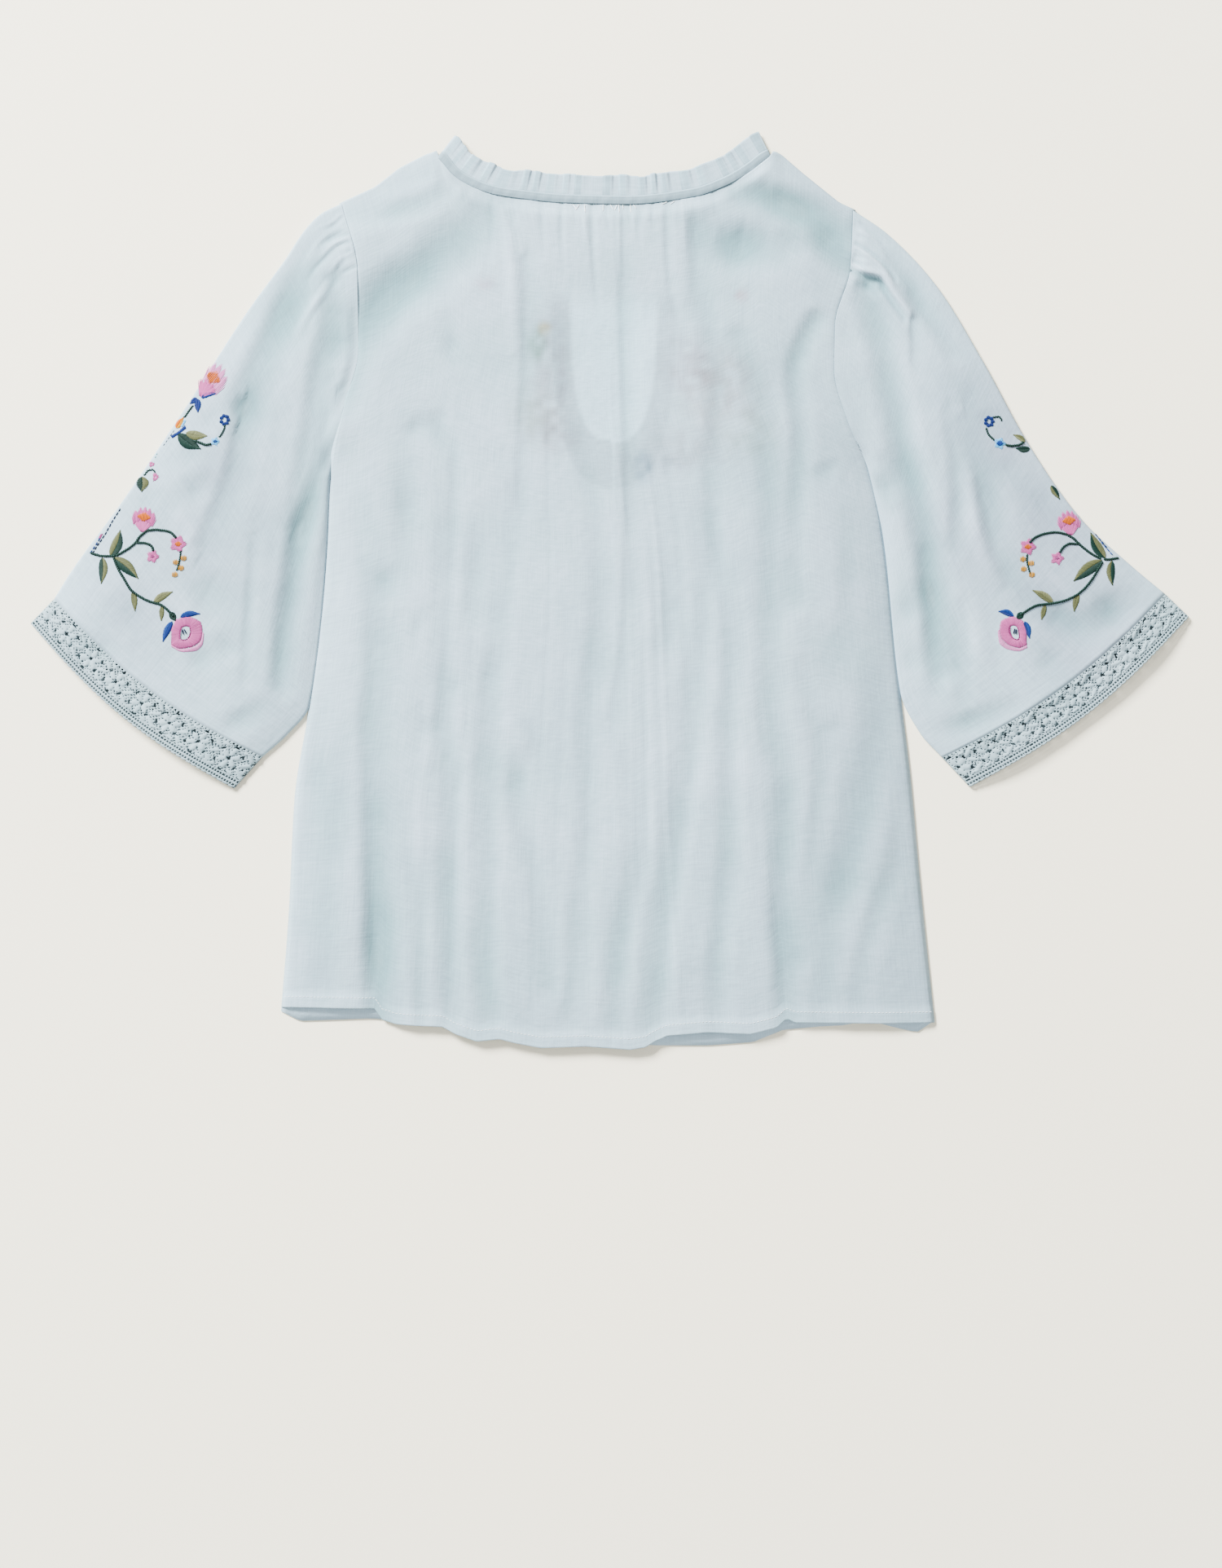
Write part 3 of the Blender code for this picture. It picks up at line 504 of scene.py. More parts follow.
# Folds of the back from the neck to the hem: the depth at the start, middle and end in millimetres, the reach
# to the left and right, and the places in the photograph. A negative depth is a ridge.
BACK_FOLDS = (
    (0.5, 1.8, 2.2, 30, 22, (408, 940), (404, 1020), (400, 1110), (398, 1210)),
    (1.96, 4.76, 3.64, 30.2, 33.3, (606, 256), (560, 300), (516, 338), (481, 362), (450, 398), (426, 432),
        (412, 480)),
    (0.63, 1.51, 0.69, 13.7, 19.7, (398, 630), (391, 730), (383, 810), (380, 890), (379, 970), (362, 1050),
        (352, 1130), (348, 1200)),
    (0.84, 2.6, 6.2, 14, 32, (436, 640), (458, 730), (461, 810), (455, 890), (457, 970), (459, 1050),
        (461, 1130), (461, 1190), (463, 1246)),
    (1.47, 1.68, 2.26, 15.1, 13.7, (538, 520), (558, 570), (553, 650), (548, 730), (545, 810), (547, 890),
        (556, 970), (555, 1050), (554, 1130), (554, 1190), (555, 1246)),
    (0.39, 1.57, 2.16, 12.1, 12.1, (500, 990), (507, 1050), (514, 1130), (514, 1190), (518, 1246)),
    (1.2, 1.2, 0.6, 7, 17, (645, 320), (647, 372), (646, 430), (643, 500), (640, 560), (638, 620)),
    (0.63, 1.51, 2.08, 19.7, 13.7, (640, 600), (632, 660), (622, 730), (614, 810), (604, 890), (602, 970),
        (602, 1050), (600, 1130), (600, 1190), (607, 1246)),
    (0.59, 1.37, 1.18, 15.1, 15.1, (652, 900), (636, 970), (644, 1020), (662, 1090), (668, 1150), (674, 1210)),
    (0.63, 1.26, 1.39, 13.7, 16.7, (693, 480), (718, 560), (734, 640), (737, 730), (730, 810), (719, 890),
        (724, 970), (719, 1050), (710, 1130), (708, 1190), (700, 1250)),
    (0.9, 1.3, 0.6, 7, 15, (762, 253), (764, 300), (765, 360), (767, 430), (769, 500), (771, 570), (772, 650),
        (771, 730), (765, 800), (753, 880)),
    (0.39, 1.47, 2.35, 16.7, 13.7, (776, 930), (783, 1000), (784, 1050), (768, 1130), (761, 1190), (757, 1256)),
    (0.84, 1.85, 2.43, 21.2, 13.7, (872, 640), (869, 700), (862, 790), (855, 870), (846, 950), (832, 1040),
        (820, 1110), (813, 1180), (806, 1262)),
    (1.26, 1.34, 1.91, 13.7, 15.1, (858, 280), (860, 340), (872, 410), (884, 480), (875, 560), (880, 640),
        (893, 730), (900, 810), (896, 890), (895, 970), (894, 1050), (886, 1130), (881, 1190), (880, 1262)),
    (1.47, 1.68, 3.65, 16.7, 18.1, (906, 420), (926, 460), (942, 510), (944, 580), (948, 650), (948, 730),
        (947, 810), (950, 890), (964, 970), (962, 1050), (961, 1130), (966, 1190), (966, 1246)),
    (2.52, 1.96, 1.12, 12.1, 13.7, (1000, 394), (986, 420), (974, 462), (982, 540), (976, 640), (974, 740)),
    (0.63, 1.34, 0.87, 12.1, 13.7, (980, 820), (998, 880), (1008, 940), (1002, 1020), (986, 1110), (982, 1180)),
    (1.68, 2.86, 2.08, 30.2, 22.6, (1088, 850), (1082, 910), (1066, 970), (1045, 1050), (1026, 1120),
        (1015, 1180), (1009, 1246)),
    (0.59, 1.57, 1.37, 13.7, 15.1, (1108, 990), (1102, 1050), (1076, 1120), (1056, 1190), (1052, 1240)),
    (1.6, 6.2, 5.4, 24, 19, (880, 240), (920, 240), (972, 252), (1005, 258), (1028, 270), (1045, 280)),
    (2.2, 5.6, 2.4, 30, 30, (876, 292), (905, 302), (950, 304)),
    (1.8, 5.2, 4.2, 22, 20, (986, 288), (1010, 296), (1027, 312), (1040, 322)),
    (1.12, 2.24, 1.4, 15.1, 15.1, (412, 256), (460, 236), (520, 214)),
    (1.68, 2.8, 1.4, 15.1, 15.1, (430, 262), (470, 262), (520, 250), (548, 236)),
    (0.42, 1.82, 0.42, 15.73, 15.73, (500, 516), (512, 526), (528, 530)),
    (0.42, 2.1, 0.56, 21.71, 21.71, (456, 712), (474, 716), (492, 706)),
    (0.3, 0.9, 0.3, 6.5, 10.4, (518, 752), (512, 772), (507, 792)),
    (0.56, 1.26, 0.42, 13.78, 13.78, (552, 404), (556, 436), (572, 446)),
    (0.42, 1.12, 0.42, 15.73, 13.78, (552, 830), (562, 842), (560, 860)),
    (0.42, 1.26, 0.42, 15.73, 13.78, (598, 812), (602, 832), (592, 850)),
    (0.42, 1.26, 0.42, 17.81, 15.73, (520, 880), (527, 897), (520, 915)),
    (-0.6, -1.4, -0.4, 12.2, 12.2, (630, 890), (642, 915), (650, 935)),
    (0.42, 1.4, 0.56, 17.81, 17.81, (622, 950), (632, 962), (640, 985)),
    (0.42, 1.96, 0.56, 19.63, 19.63, (1006, 566), (1014, 580), (1026, 590)),
    (0.56, 1.54, 0.56, 15.73, 15.73, (1080, 566), (1086, 590), (1094, 622)),
    (0.56, 1.82, 0.56, 17.81, 17.81, (1098, 752), (1110, 748), (1120, 738)),
    (0.42, 1.4, 0.42, 17.81, 17.81, (1012, 884), (1020, 896), (1024, 912)),
    (0.84, 1.96, 0.56, 21.2, 21.2, (366, 930), (384, 950), (398, 990)),
    (0.56, 2.24, 0.56, 18.1, 18.1, (820, 690), (824, 760), (812, 820)),
    (0.39, 1.18, 0.39, 18.1, 18.1, (430, 900), (424, 980), (428, 1060)),
    (0.56, 1.96, 0.56, 15.1, 18.1, (590, 640), (584, 720), (578, 790)),
    (0.56, 1.96, 0.56, 15.1, 18.1, (496, 560), (500, 640), (496, 700)),
    (0.39, 1.37, 0.39, 15.1, 15.1, (1040, 640), (1044, 720), (1036, 800)),
)
# Sharp little pleats that hang from the neck binding, in the same form
NECK_PLEATS = (
    (0.99, 0.66, 0.11, 3.6, 4.1, (689, 248), (689, 290), (692, 340)),
    (0.99, 0.77, 0.11, 3.8, 5.3, (726, 248), (727, 292), (729, 330), (734, 386)),
    (-0.66, -0.55, -0.11, 2.6, 2.6, (717, 250), (718, 275), (719, 306)),
    (-0.66, -0.66, -0.17, 2.9, 2.9, (759, 250), (760, 290), (761, 340)),
    (0.88, 0.66, 0.11, 3.1, 6.0, (785, 256), (783, 278), (784, 304)),
    (0.99, 0.88, 0.17, 3.6, 7.8, (817, 248), (818, 300), (823, 366), (836, 408)),
    (-0.61, -0.44, -0.11, 2.6, 2.9, (837, 248), (839, 276), (842, 310)),
    (0.66, 0.77, 0.17, 8.4, 7.2, (851, 262), (852, 330), (850, 396)),
    (-0.88, -0.99, -0.44, 8.4, 6.6, (618, 262), (626, 300), (630, 360), (632, 430)),
    (0.55, 0.44, 0.11, 4.1, 3.6, (604, 246), (604, 290), (596, 340)),
    (0.66, 0.55, 0.11, 3.6, 4.3, (664, 248), (665, 276), (668, 312)),
    (0.77, 0.55, 0.11, 2.9, 2.9, (705, 250), (706, 266), (706, 280)),
    (0.77, 0.55, 0.11, 2.9, 2.9, (745, 251), (746, 268), (747, 284)),
    (0.77, 0.55, 0.11, 2.9, 2.9, (772, 251), (773, 264), (775, 278)),
    (0.77, 0.55, 0.11, 3.1, 2.9, (800, 249), (801, 266), (803, 284)),
    (0.66, 0.44, 0.11, 3.1, 3.6, (634, 242), (632, 262), (628, 286)),
    (0.66, 0.5, 0.11, 3.6, 3.6, (874, 236), (880, 262), (890, 288)),
    (0.55, 0.5, 0.11, 4.8, 4.8, (897, 228), (908, 250), (926, 272)),
    (0.55, 0.5, 0.11, 4.8, 4.8, (580, 226), (568, 246), (550, 266)),
)
chance = np.random.default_rng(7)
# Tiny gathers right under the neck binding: place, length, lean, half-width and height
GATHERS = np.column_stack(
    [
        np.linspace(-92, 74, 44) + chance.uniform(-1.2, 1.2, 44),
        chance.uniform(7, 20, 44),
        chance.uniform(-0.06, 0.06, 44),
        chance.uniform(1.5, 2.4, 44),
        chance.uniform(0.2, 0.7, 44),
    ]
)
# Faint folds between the main ones: place across, half-width, start, end and height
FAINT_FOLDS = np.column_stack(
    [
        chance.uniform(0.08, 0.92, 30),
        chance.uniform(0.008, 0.02, 30),
        chance.uniform(0.1, 0.6, 30),
        chance.uniform(0.6, 1.3, 30),
        chance.uniform(-0.5, 0.5, 30),
    ]
)


def back_relief(x, y, u, v):
    """How far the back's cloth rises above its lowest lie, and how deep its folds are there."""
    inset = np.minimum(x - side_x(LEFT_SIDE, y), side_x(RIGHT_SIDE, y) - x)
    below_arm = ease(-y, -135, -85)
    fullness = 1 - below_arm * (1 - rounded(np.maximum(inset, 0)))
    from_top = np.maximum(back_top_y(x) - y, 0)
    on_shoulder = ease(np.abs(x), 112, 134)
    fullness = fullness * (1 - on_shoulder * (1 - rounded(from_top)))
    fullness = fullness * (0.5 + 0.5 * ease(y - hem_y(x), 0, 60))
    folds = 0.0 * x
    for row in BACK_FOLDS + NECK_PLEATS:
        folds = folds + crease(x, y, row)
    for centre, width, start, end, height in FAINT_FOLDS:
        across = bell(np.abs(u - centre) / width)
        folds = folds - height * across * ease(v, start, start + 0.15) * ease(-v, -end, 0.15 - end)
    for place, length, lean, width, height in GATHERS:
        top = float(back_top_y(place))
        folds = folds - ridge(x, y, place, top, place + lean * length, top - length, width, height)
    crumple = 0.6 * soft_noise(x, y, 44, 1) + 0.22 * soft_noise(x, y, 17, 2) + 0.05 * soft_noise(x, y, 6, 3)
    folds = folds - crumple
    edge = 0.7 * (1 - rounded(np.maximum(inset, 0), 2.0)) * below_arm
    relief = np.maximum((BODY_PUFF - folds) * fullness, 0)
    at_neck = (1 - on_shoulder) * (1 - ease(from_top, 0.5, 11))
    relief = relief * (1 - at_neck) + (2.5 - 0.35 * folds) * at_neck
    return relief - edge, folds * fullness


def back_height(x, y, u, v):
    """Height of the back's upper face."""
    return UPPER_TOP + back_relief(x, y, u, v)[0]


def blot(x, y, centre_x, centre_y, half_x, half_y, softness=0.5):
    """1 inside an ellipse and 0 outside, with a soft edge."""
    reach = np.hypot((x - centre_x) / half_x, (y - centre_y) / half_y)
    return 1 - ease(reach, 1 - softness, 1 + softness)


# Places where the front's embroidery shows faintly through: the middle, the half-sizes, how much and its tint
SHOWN_STITCHES = (
    # x, y, half_x, half_y, amount, tint
    (-44.0, 170.0, 16.0, 46.0, 0.8, "#d9d3d4"),
    (-56.0, 138.0, 18.0, 20.0, 0.6, "#d6d4cf"),
    (-40.0, 118.0, 20.0, 12.0, 0.6, "#d8d2d2"),
    (60.0, 176.0, 22.0, 20.0, 0.6, "#d9d2d3"),
    (84.0, 156.0, 30.0, 30.0, 0.7, "#dbd2d0"),
    (108.0, 122.0, 20.0, 18.0, 0.5, "#d4d6cf"),
    (62.0, 112.0, 30.0, 14.0, 0.6, "#d8d3d2"),
    (34.0, 100.0, 24.0, 10.0, 0.5, "#d6d4d6"),
    (-94.0, 236.0, 7.0, 5.0, 0.5, "#e0cdd0"),
    (-49.6, 201.5, 5.0, 5.0, 0.6, "#e6cfae"),
    (100.4, 226.3, 5.0, 5.0, 0.6, "#e6c6c6"),
    (-55.0, 189.0, 7.0, 11.0, 0.6, "#bccabd"),
    (26.0, 96.0, 7.0, 12.0, 0.9, "#cdd3d6"),
)


# Painted shade: how much darker each colour of sheer cloth is painted for a millimetre that it sinks, standing in
# for the shade in a fold's hollow as well as the deeper tone of its real show-through
PAINTED_SINK_SHADE = np.array([0.115, 0.078, 0.084])


def fold_shade_and_patches(x, y, folds, seed):
    """Painted shade and highlight: sheer cloth is painted deeper and greener where it sinks into a fold, standing
    in for the shade there as well as its real show-through, and paler where it lifts off, a painted highlight; it
    is also never quite even.
    """
    patches = soft_noise(x, y, 46, seed) + 0.6 * soft_noise(x, y, 18, seed + 1)
    patches = patches + 0.3 * soft_noise(x, y, 7, seed + 2)
    sink = np.clip(folds, -2.0, 4.5)
    # Painted shade in the folds' hollows and painted highlight on their crests, with random patches
    tint = 1 - sink[..., None] * PAINTED_SINK_SHADE + 0.045 * patches[..., None] * np.array([1.0, 0.55, 0.75])
    return np.clip(tint, 0.5, 1.2)


def back_show_through_and_shade(x, y, folds):
    """The back's tint: painted shade and highlight of its folds, painted shade over its right side, and what shows
    faintly through it: the front's notch, its facing and its embroidery, and the turned hem.
    """
    # Painted shade in the folds' hollows and painted highlight on their crests
    tint = fold_shade_and_patches(x, y, folds, 51)
    grain = 0.6 + 0.4 * soft_noise(x, y, 6, 41)
    for middle_x, middle_y, half_x, half_y, amount, colour in SHOWN_STITCHES:
        share = 2.1 * amount * blot(x, y, middle_x, middle_y, half_x, half_y, 0.6) * grain
        shade = np.array([int(colour[k : k + 2], 16) / 236 for k in (1, 3, 5)]) ** 2.2
        tint = tint * (1 - share[..., None] * (1 - np.minimum(shade, 1)))
    across = np.abs(x - NOTCH_MIDDLE)
    half = notch_half(y, 0.0, NOTCH_BOTTOM)
    outer = notch_half(y, FACING_MARGIN, FACING_BOTTOM)
    facing_shade = (1 - ease(across - outer, -2.0, 2.0)) * ease(-y, -NOTCH_TOP - 6, -NOTCH_TOP + 6)
    open_notch = (1 - ease(across - half, -2.5, 2.5)) * ease(-y, -NOTCH_TOP - 12, -NOTCH_TOP + 12)
    tint = tint * (1 - 0.15 * (facing_shade * (1 - open_notch))[..., None])
    tint = tint * (1 + 0.2 * open_notch[..., None] * np.array([0.8, 1.0, 1.05]))
    # The right side is turned a little from the light
    tint = tint * (1 - 0.12 * ease(x, 60, 200)[..., None])
    from_hem = y - hem_y(x)
    tint = tint * (1 + 0.02 * ease(-from_hem, -HEM_TURNING - 0.4, -HEM_TURNING + 0.4)[..., None])
    return np.clip(tint, 0, 1.25)


def build_back():
    """The back panel, with its rows closer together at the shoulders and at the hem's turning."""
    columns, rows = 188, 236
    u = np.linspace(-1, 1, columns + 1)
    spread = 0.45 * u + 0.55 * np.sign(u) * np.abs(u) ** 2.2
    left, right = LEFT_SHOULDER[0][0], RIGHT_SHOULDER[0][0]
    top_x = 0.5 * (left + right) + 0.5 * (right - left) * spread
    top = np.stack([top_x, back_top_y(top_x)], axis=1)
    hem_x = BACK_HEM[0][0] + (BACK_HEM[-1][0] - BACK_HEM[0][0]) * 0.5 * (1 + 0.8 * u + 0.2 * u**3)
    bottom = np.stack([hem_x, hem_y(hem_x)], axis=1)
    v = (np.arange(rows + 1) / rows) ** 1.12
    length = LEFT_SHOULDER[0][1] - BACK_HEM[0][1]
    near_hem = np.array([HEM_TURNING + 0.6, HEM_TURNING, 6.0, 3.0, 1.0, 0.3])
    v = np.concatenate([v[v < 1 - 12 / length], 1 - near_hem / length, [1.0]])
    x, y = panel_plan(top, bottom, v)
    share = np.linspace(0, 1, columns + 1)[:, None]
    relief, folds = back_relief(x, y, share, v[None, :])
    z = UPPER_TOP + relief
    z = z + 0.35 * (v >= 1 - (HEM_TURNING + 0.1) / length)
    z[:, -1] -= 0.4
    z[[0, -1]] -= 0.8
    rings = np.stack([x, y, z], axis=2).transpose(1, 0, 2)[::-1]
    # Painted shade of the folds and of the right side, with what shows through the back
    tint = back_show_through_and_shade(x, y, folds).transpose(1, 0, 2)[::-1]
    grain = (np.linspace(0, 900, columns + 1), np.linspace(0, 650, len(v)))
    return cloth_piece("back_panel", rings, False, VOILE, CLOTH, grain, tint)


def build_front():
    """The front panel, with its notch, lying flat under the back."""
    columns, rows = 121, 81
    neck = neck_line(0)
    left = neck[neck[:, 0] < NOTCH_MIDDLE][::-1]
    right = neck[neck[:, 0] > NOTCH_MIDDLE][::-1]
    cut = notch(0.0, NOTCH_TOP - NOTCH_BOTTOM, np.linspace(0, 1, 61))
    edge = np.vstack([LEFT_SHOULDER, left, cut, right, RIGHT_SHOULDER[::-1]])
    top = line(edge, np.linspace(0, 1, columns))
    hem = np.array(FRONT_HEM)
    x = np.linspace(hem[0, 0], hem[-1, 0], columns)
    bottom = np.stack([x, np.interp(x, hem[:, 0], hem[:, 1])], axis=1)
    x, y = panel_plan(top, bottom, np.linspace(0, 1, rows) ** 1.3)
    inset = np.minimum(x - side_x(LEFT_SIDE, y), side_x(RIGHT_SIDE, y) - x)
    z = LOWER_TOP - 0.3 + 0.1 * soft_noise(x, y, 16, 5) + 0.3 * ease(y, -300, -280)
    z = z - 0.15 * (1 - rounded(np.maximum(inset, 0), 3.0))
    rings = np.stack([x, y, z], axis=2).transpose(1, 0, 2)[::-1]
    grain = (np.linspace(0, 900, columns), np.linspace(0, 650, rows))
    # Its hem is turned double, so it is paler where it shows below the back's; the lift is also a painted highlight
    # that lightens the shadow which the back's hem casts on it
    tint = (1 + 0.35 * ease(-rings[:, :, 1], 306, 316))[..., None] * np.ones(3)
    return cloth_piece("front_panel", rings, False, VOILE, CLOTH, grain, tint)


def build_facing():
    """The U-shaped strip round the notch, between the front and the back."""
    columns, rows = 61, 7
    at = np.linspace(0, 1, columns)
    inner = notch(0.6, NOTCH_TOP - NOTCH_BOTTOM + 0.6, at)
    outer = notch(FACING_MARGIN, NOTCH_TOP - FACING_BOTTOM, at)
    t = np.linspace(0, 1, rows)[:, None, None]
    plan = outer * (1 - t) + inner * t
    z = 1.6 + 0.06 * soft_noise(plan[:, :, 0], plan[:, :, 1], 9, 6)
    grain = (np.linspace(0, 260, columns), np.linspace(0, 14, rows))
    return cloth_piece("notch_facing_strip", np.dstack([plan, z]), False, TRIM_VOILE, FINE_CLOTH, grain)


# Sleeves and lace

def cuff_bow(start, end, t, mirror):
    """How far a cuff line from its outer corner to its inner one bows out at each place along it."""
    chord = end - start
    outward = np.array([chord[1], -chord[0]]) * -mirror / np.linalg.norm(chord)
    return CUFF_BULGE * np.sin(np.pi * t)[:, None] * outward


def sleeve_plan(side, outer, inner, mirror, stations, across):
    """Plan points of a sleeve by station and place across, closer at the gathered cap, from armhole to lace."""
    t = np.linspace(0, 1, across) ** 1.25
    levels = side[0][0] + (inner[0][1] - side[0][0]) * t
    s = np.linspace(0, 1, stations) ** 1.3
    outer_edge, inner_edge = curve(outer, s), curve(inner, s)
    plan = outer_edge[:, None] * (1 - t[:, None]) + inner_edge[:, None] * t[:, None]
    armhole = np.stack([side_x(side, levels) - mirror * ARMHOLE_OVERLAP, levels], axis=1)
    plan += ((1 - s) ** 3)[:, None, None] * (armhole - plan[0])
    plan += (s**3)[:, None, None] * cuff_bow(outer_edge[-1], inner_edge[-1], t, mirror)
    beside = side_x(side, plan[:, :, 1]) - mirror * ARMHOLE_OVERLAP
    near_body = plan[:, :, 1] > FREE_BELOW
    kept_off = mirror * np.maximum(mirror * plan[:, :, 0], mirror * beside)
    plan[:, :, 0] = np.where(near_body, kept_off, plan[:, :, 0])
    return plan, t


# Where a flattened tube's upper layer leaves its folded edges: inset and height
FOLD_LINE = (
    (0.0, TUBE_EDGE), (0.35, 1.95), (1.0, 2.3), (1.9, 2.5),
)


def tube_rings(plan, t, height, seed):
    """Rows of points round a flattened tube, with their tints: upper layer, inner fold, underside, outer fold."""
    rings, tints = [], []
    insets, lifts = np.array(FOLD_LINE).T
    for across in plan:
        width = np.linalg.norm(across[-1] - across[0])
        body = np.interp(t[4:-4], [t[4], t[-5]], [3.0, width - 3.0])
        inset = np.concatenate([insets[1:], body, width - insets[:0:-1]])
        upper = smooth(t, across, inset / width)
        near = np.minimum(inset, width - inset)
        lift = np.interp(near, insets, lifts)
        raised, folds = height(upper[:, 0], upper[:, 1], near)
        z = lift + raised
        # Painted shade in the folds' hollows and painted highlight on their crests, with random patches
        tint = fold_shade_and_patches(upper[:, 0], upper[:, 1], folds, seed)
        plan_points = np.vstack([across[:1], upper, across[-1:], upper[::-1]])
        heights = np.concatenate([[TUBE_EDGE], z, [TUBE_EDGE], UPPER_TOP - lift[::-1]])
        rings.append(np.column_stack([plan_points, heights]))
        tints.append(np.vstack([tint[:1], tint, tint[-1:], np.ones((len(upper), 3))]))
    return np.array(rings), np.array(tints)


# Folds and cap pleats of the sleeves, in the same form as the back's folds
LEFT_SLEEVE_FOLDS = (
    (1.4, 5.2, 2.4, 18, 32, (396, 282), (376, 312), (360, 345), (345, 385), (328, 425), (310, 462), (298, 500)),
    (1.96, 2.52, 1.12, 12.1, 24.2, (300, 500), (294, 545), (284, 590), (268, 630), (250, 670)),
    (1.68, 2.6, 1.4, 14, 20, (412, 345), (406, 400), (394, 455), (385, 520), (372, 590), (360, 645)),
    (1.12, 4.76, 3.08, 15.1, 19.7, (411, 500), (404, 560), (386, 615), (368, 665), (361, 715), (352, 775),
        (346, 840)),
    (1.64, 2.73, 0.91, 21.72, 21.72, (430, 396), (424, 424), (422, 452)),
    (0.73, 2.18, 0.73, 12.72, 12.72, (414, 470), (422, 480), (432, 484)),
    (0.6, 1.2, 0.6, 6, 9, (312, 660), (308, 720), (304, 780), (300, 838)),
    (0.33, 0.65, 0.33, 7.2, 9.6, (344, 780), (343, 820), (344, 856)),
    (0.73, 2, 0.73, 29.04, 29.04, (236, 716), (256, 728), (282, 742)),
    (0.55, 2, 0.55, 16.44, 16.44, (232, 796), (248, 812), (262, 832)),
    (0.55, 1.64, 0.55, 16.44, 18.12, (264, 800), (280, 796), (292, 788)),
    (0.55, 1.64, 0.55, 16.44, 16.44, (222, 612), (240, 602), (256, 592)),
    (0.55, 2, 0.55, 18.12, 18.12, (164, 606), (180, 612), (198, 622)),
    (0.55, 1.46, 0.55, 16.44, 16.44, (216, 560), (236, 556), (256, 560)),
    (0.55, 1.46, 0.55, 16.44, 16.44, (240, 508), (256, 512), (268, 500)),
    (0.55, 1.64, 0.55, 18.12, 18.12, (150, 742), (166, 760), (178, 782)),
    (-0.6, -1.4, -0.4, 13.5, 13.5, (214, 730), (236, 752), (250, 772)),
    (-0.5, -1.3, -0.4, 12.2, 12.2, (226, 640), (236, 660), (238, 690)),
    (0.36, 1.27, 0.36, 16.44, 16.44, (110, 790), (128, 800), (150, 812)),
    (0.56, 2.24, 0.84, 15.1, 15.1, (268, 900), (290, 890), (330, 868)),
)
LEFT_CAP_PLEATS = (
    (2.0, 1.8, 0.3, 2.6, 3.4, (419, 268), (413, 274), (407, 279), (397, 283)),
    (1.6, 2.2, 0.4, 3.6, 4.6, (421, 286), (413, 290), (405, 294), (396, 300), (386, 312)),
    (1.8, 1.4, 0.2, 1.8, 2.0, (427, 289), (422, 290.5), (416, 293)),
    (1.8, 1.4, 0.2, 2.0, 2.4, (428, 298.5), (421, 300.5), (412, 303)),
    (0.6, 1.4, 0.4, 2.6, 4.0, (414, 304), (408, 309), (398, 319), (387, 330), (378, 343)),
    (1.8, 1.3, 0.2, 1.8, 2.2, (430, 309), (425, 311.5), (420, 315)),
    (0.7, 0.6, 0.4, 4.5, 6, (433, 315), (425, 317.5), (417, 327), (408, 339), (400, 348), (390, 360)),
    (-0.9, -0.9, -0.3, 3, 3.4, (432, 312), (423, 315), (415, 324), (405, 336)),
    (-1.4, -1.3, -0.3, 2.4, 2.6, (418, 266), (411, 271), (404, 275), (394, 279)),
    (-1.2, -1.2, -0.3, 2.4, 2.8, (428, 294), (418, 297), (406, 304), (396, 314)),
    (2.0, 1.8, 0.3, 2.2, 2.8, (436, 329), (428, 332.5), (419, 337)),
    (0.4, 1.0, 0.4, 5.0, 5.0, (418, 340), (413, 346), (406, 356)),
    (-0.6, -1.4, -0.5, 5.0, 6.0, (402, 350), (390, 368), (376, 390), (366, 410)),
    (-0.6, -1.4, -0.5, 5.0, 6.0, (398, 295), (386, 310), (376, 326)),
)
RIGHT_SLEEVE_FOLDS = (
    (1.68, 4.76, 1.68, 13.7, 16.7, (1083, 298), (1092, 308), (1108, 334), (1121, 352), (1130, 372), (1152, 402),
        (1172, 432)),
    (2.24, 4.2, 2.8, 19.7, 18.1, (1066, 358), (1078, 400), (1090, 455), (1101, 505), (1112, 560), (1128, 615),
        (1141, 680), (1152, 750), (1158, 820)),
    (1.56, 1.17, 0.39, 4.8, 9.6, (1119, 396), (1121, 425), (1120, 458)),
    (0.84, 1.96, 1.12, 10.6, 13.7, (1164, 505), (1173, 560), (1176, 620), (1170, 672)),
    (1.4, 2.8, 1.12, 12.1, 22.6, (1186, 518), (1196, 560), (1206, 600), (1220, 668), (1242, 716)),
    (0.73, 2, 0.73, 21.72, 21.72, (1176, 476), (1192, 486), (1204, 502)),
    (0.73, 2.18, 0.73, 18.12, 18.12, (1212, 500), (1222, 516), (1236, 528)),
    (0.91, 2.37, 0.91, 18.12, 18.12, (1082, 578), (1086, 600), (1094, 622)),
    (0.73, 2.55, 0.73, 18.12, 20.04, (1096, 758), (1108, 750), (1122, 734)),
    (0.73, 2.18, 0.73, 16.44, 16.44, (1102, 806), (1114, 812), (1128, 808)),
    (0.84, 1.82, 0.84, 10.6, 12.1, (1134, 680), (1140, 760), (1146, 850)),
    (0.7, 1.68, 0.7, 10.6, 12.1, (1176, 750), (1179, 800), (1181, 856)),
    (1.4, 3.64, 1.12, 19.7, 19.7, (1268, 740), (1296, 756), (1328, 780)),
    (1.12, 3.36, 1.12, 21.2, 21.2, (1330, 770), (1366, 752), (1398, 722)),
    (0.55, 1.64, 0.55, 16.44, 16.44, (1274, 800), (1290, 816), (1300, 830)),
    (0.84, 2.24, 1.12, 15.1, 13.7, (1142, 900), (1190, 888), (1240, 868)),
    (-0.6, -1.8, -0.6, 10.8, 12.2, (1186, 590), (1196, 640), (1206, 680), (1222, 714)),
    (-0.6, -1.4, -0.4, 12.2, 12.2, (1196, 748), (1202, 790), (1210, 830)),
    (0.55, 1.64, 0.55, 18.12, 18.12, (1268, 600), (1284, 618), (1290, 640)),
    (0.55, 1.46, 0.55, 16.44, 16.44, (1228, 560), (1240, 580), (1256, 596)),
    (0.55, 1.27, 0.45, 16.44, 16.44, (1346, 726), (1356, 742), (1362, 760)),
)
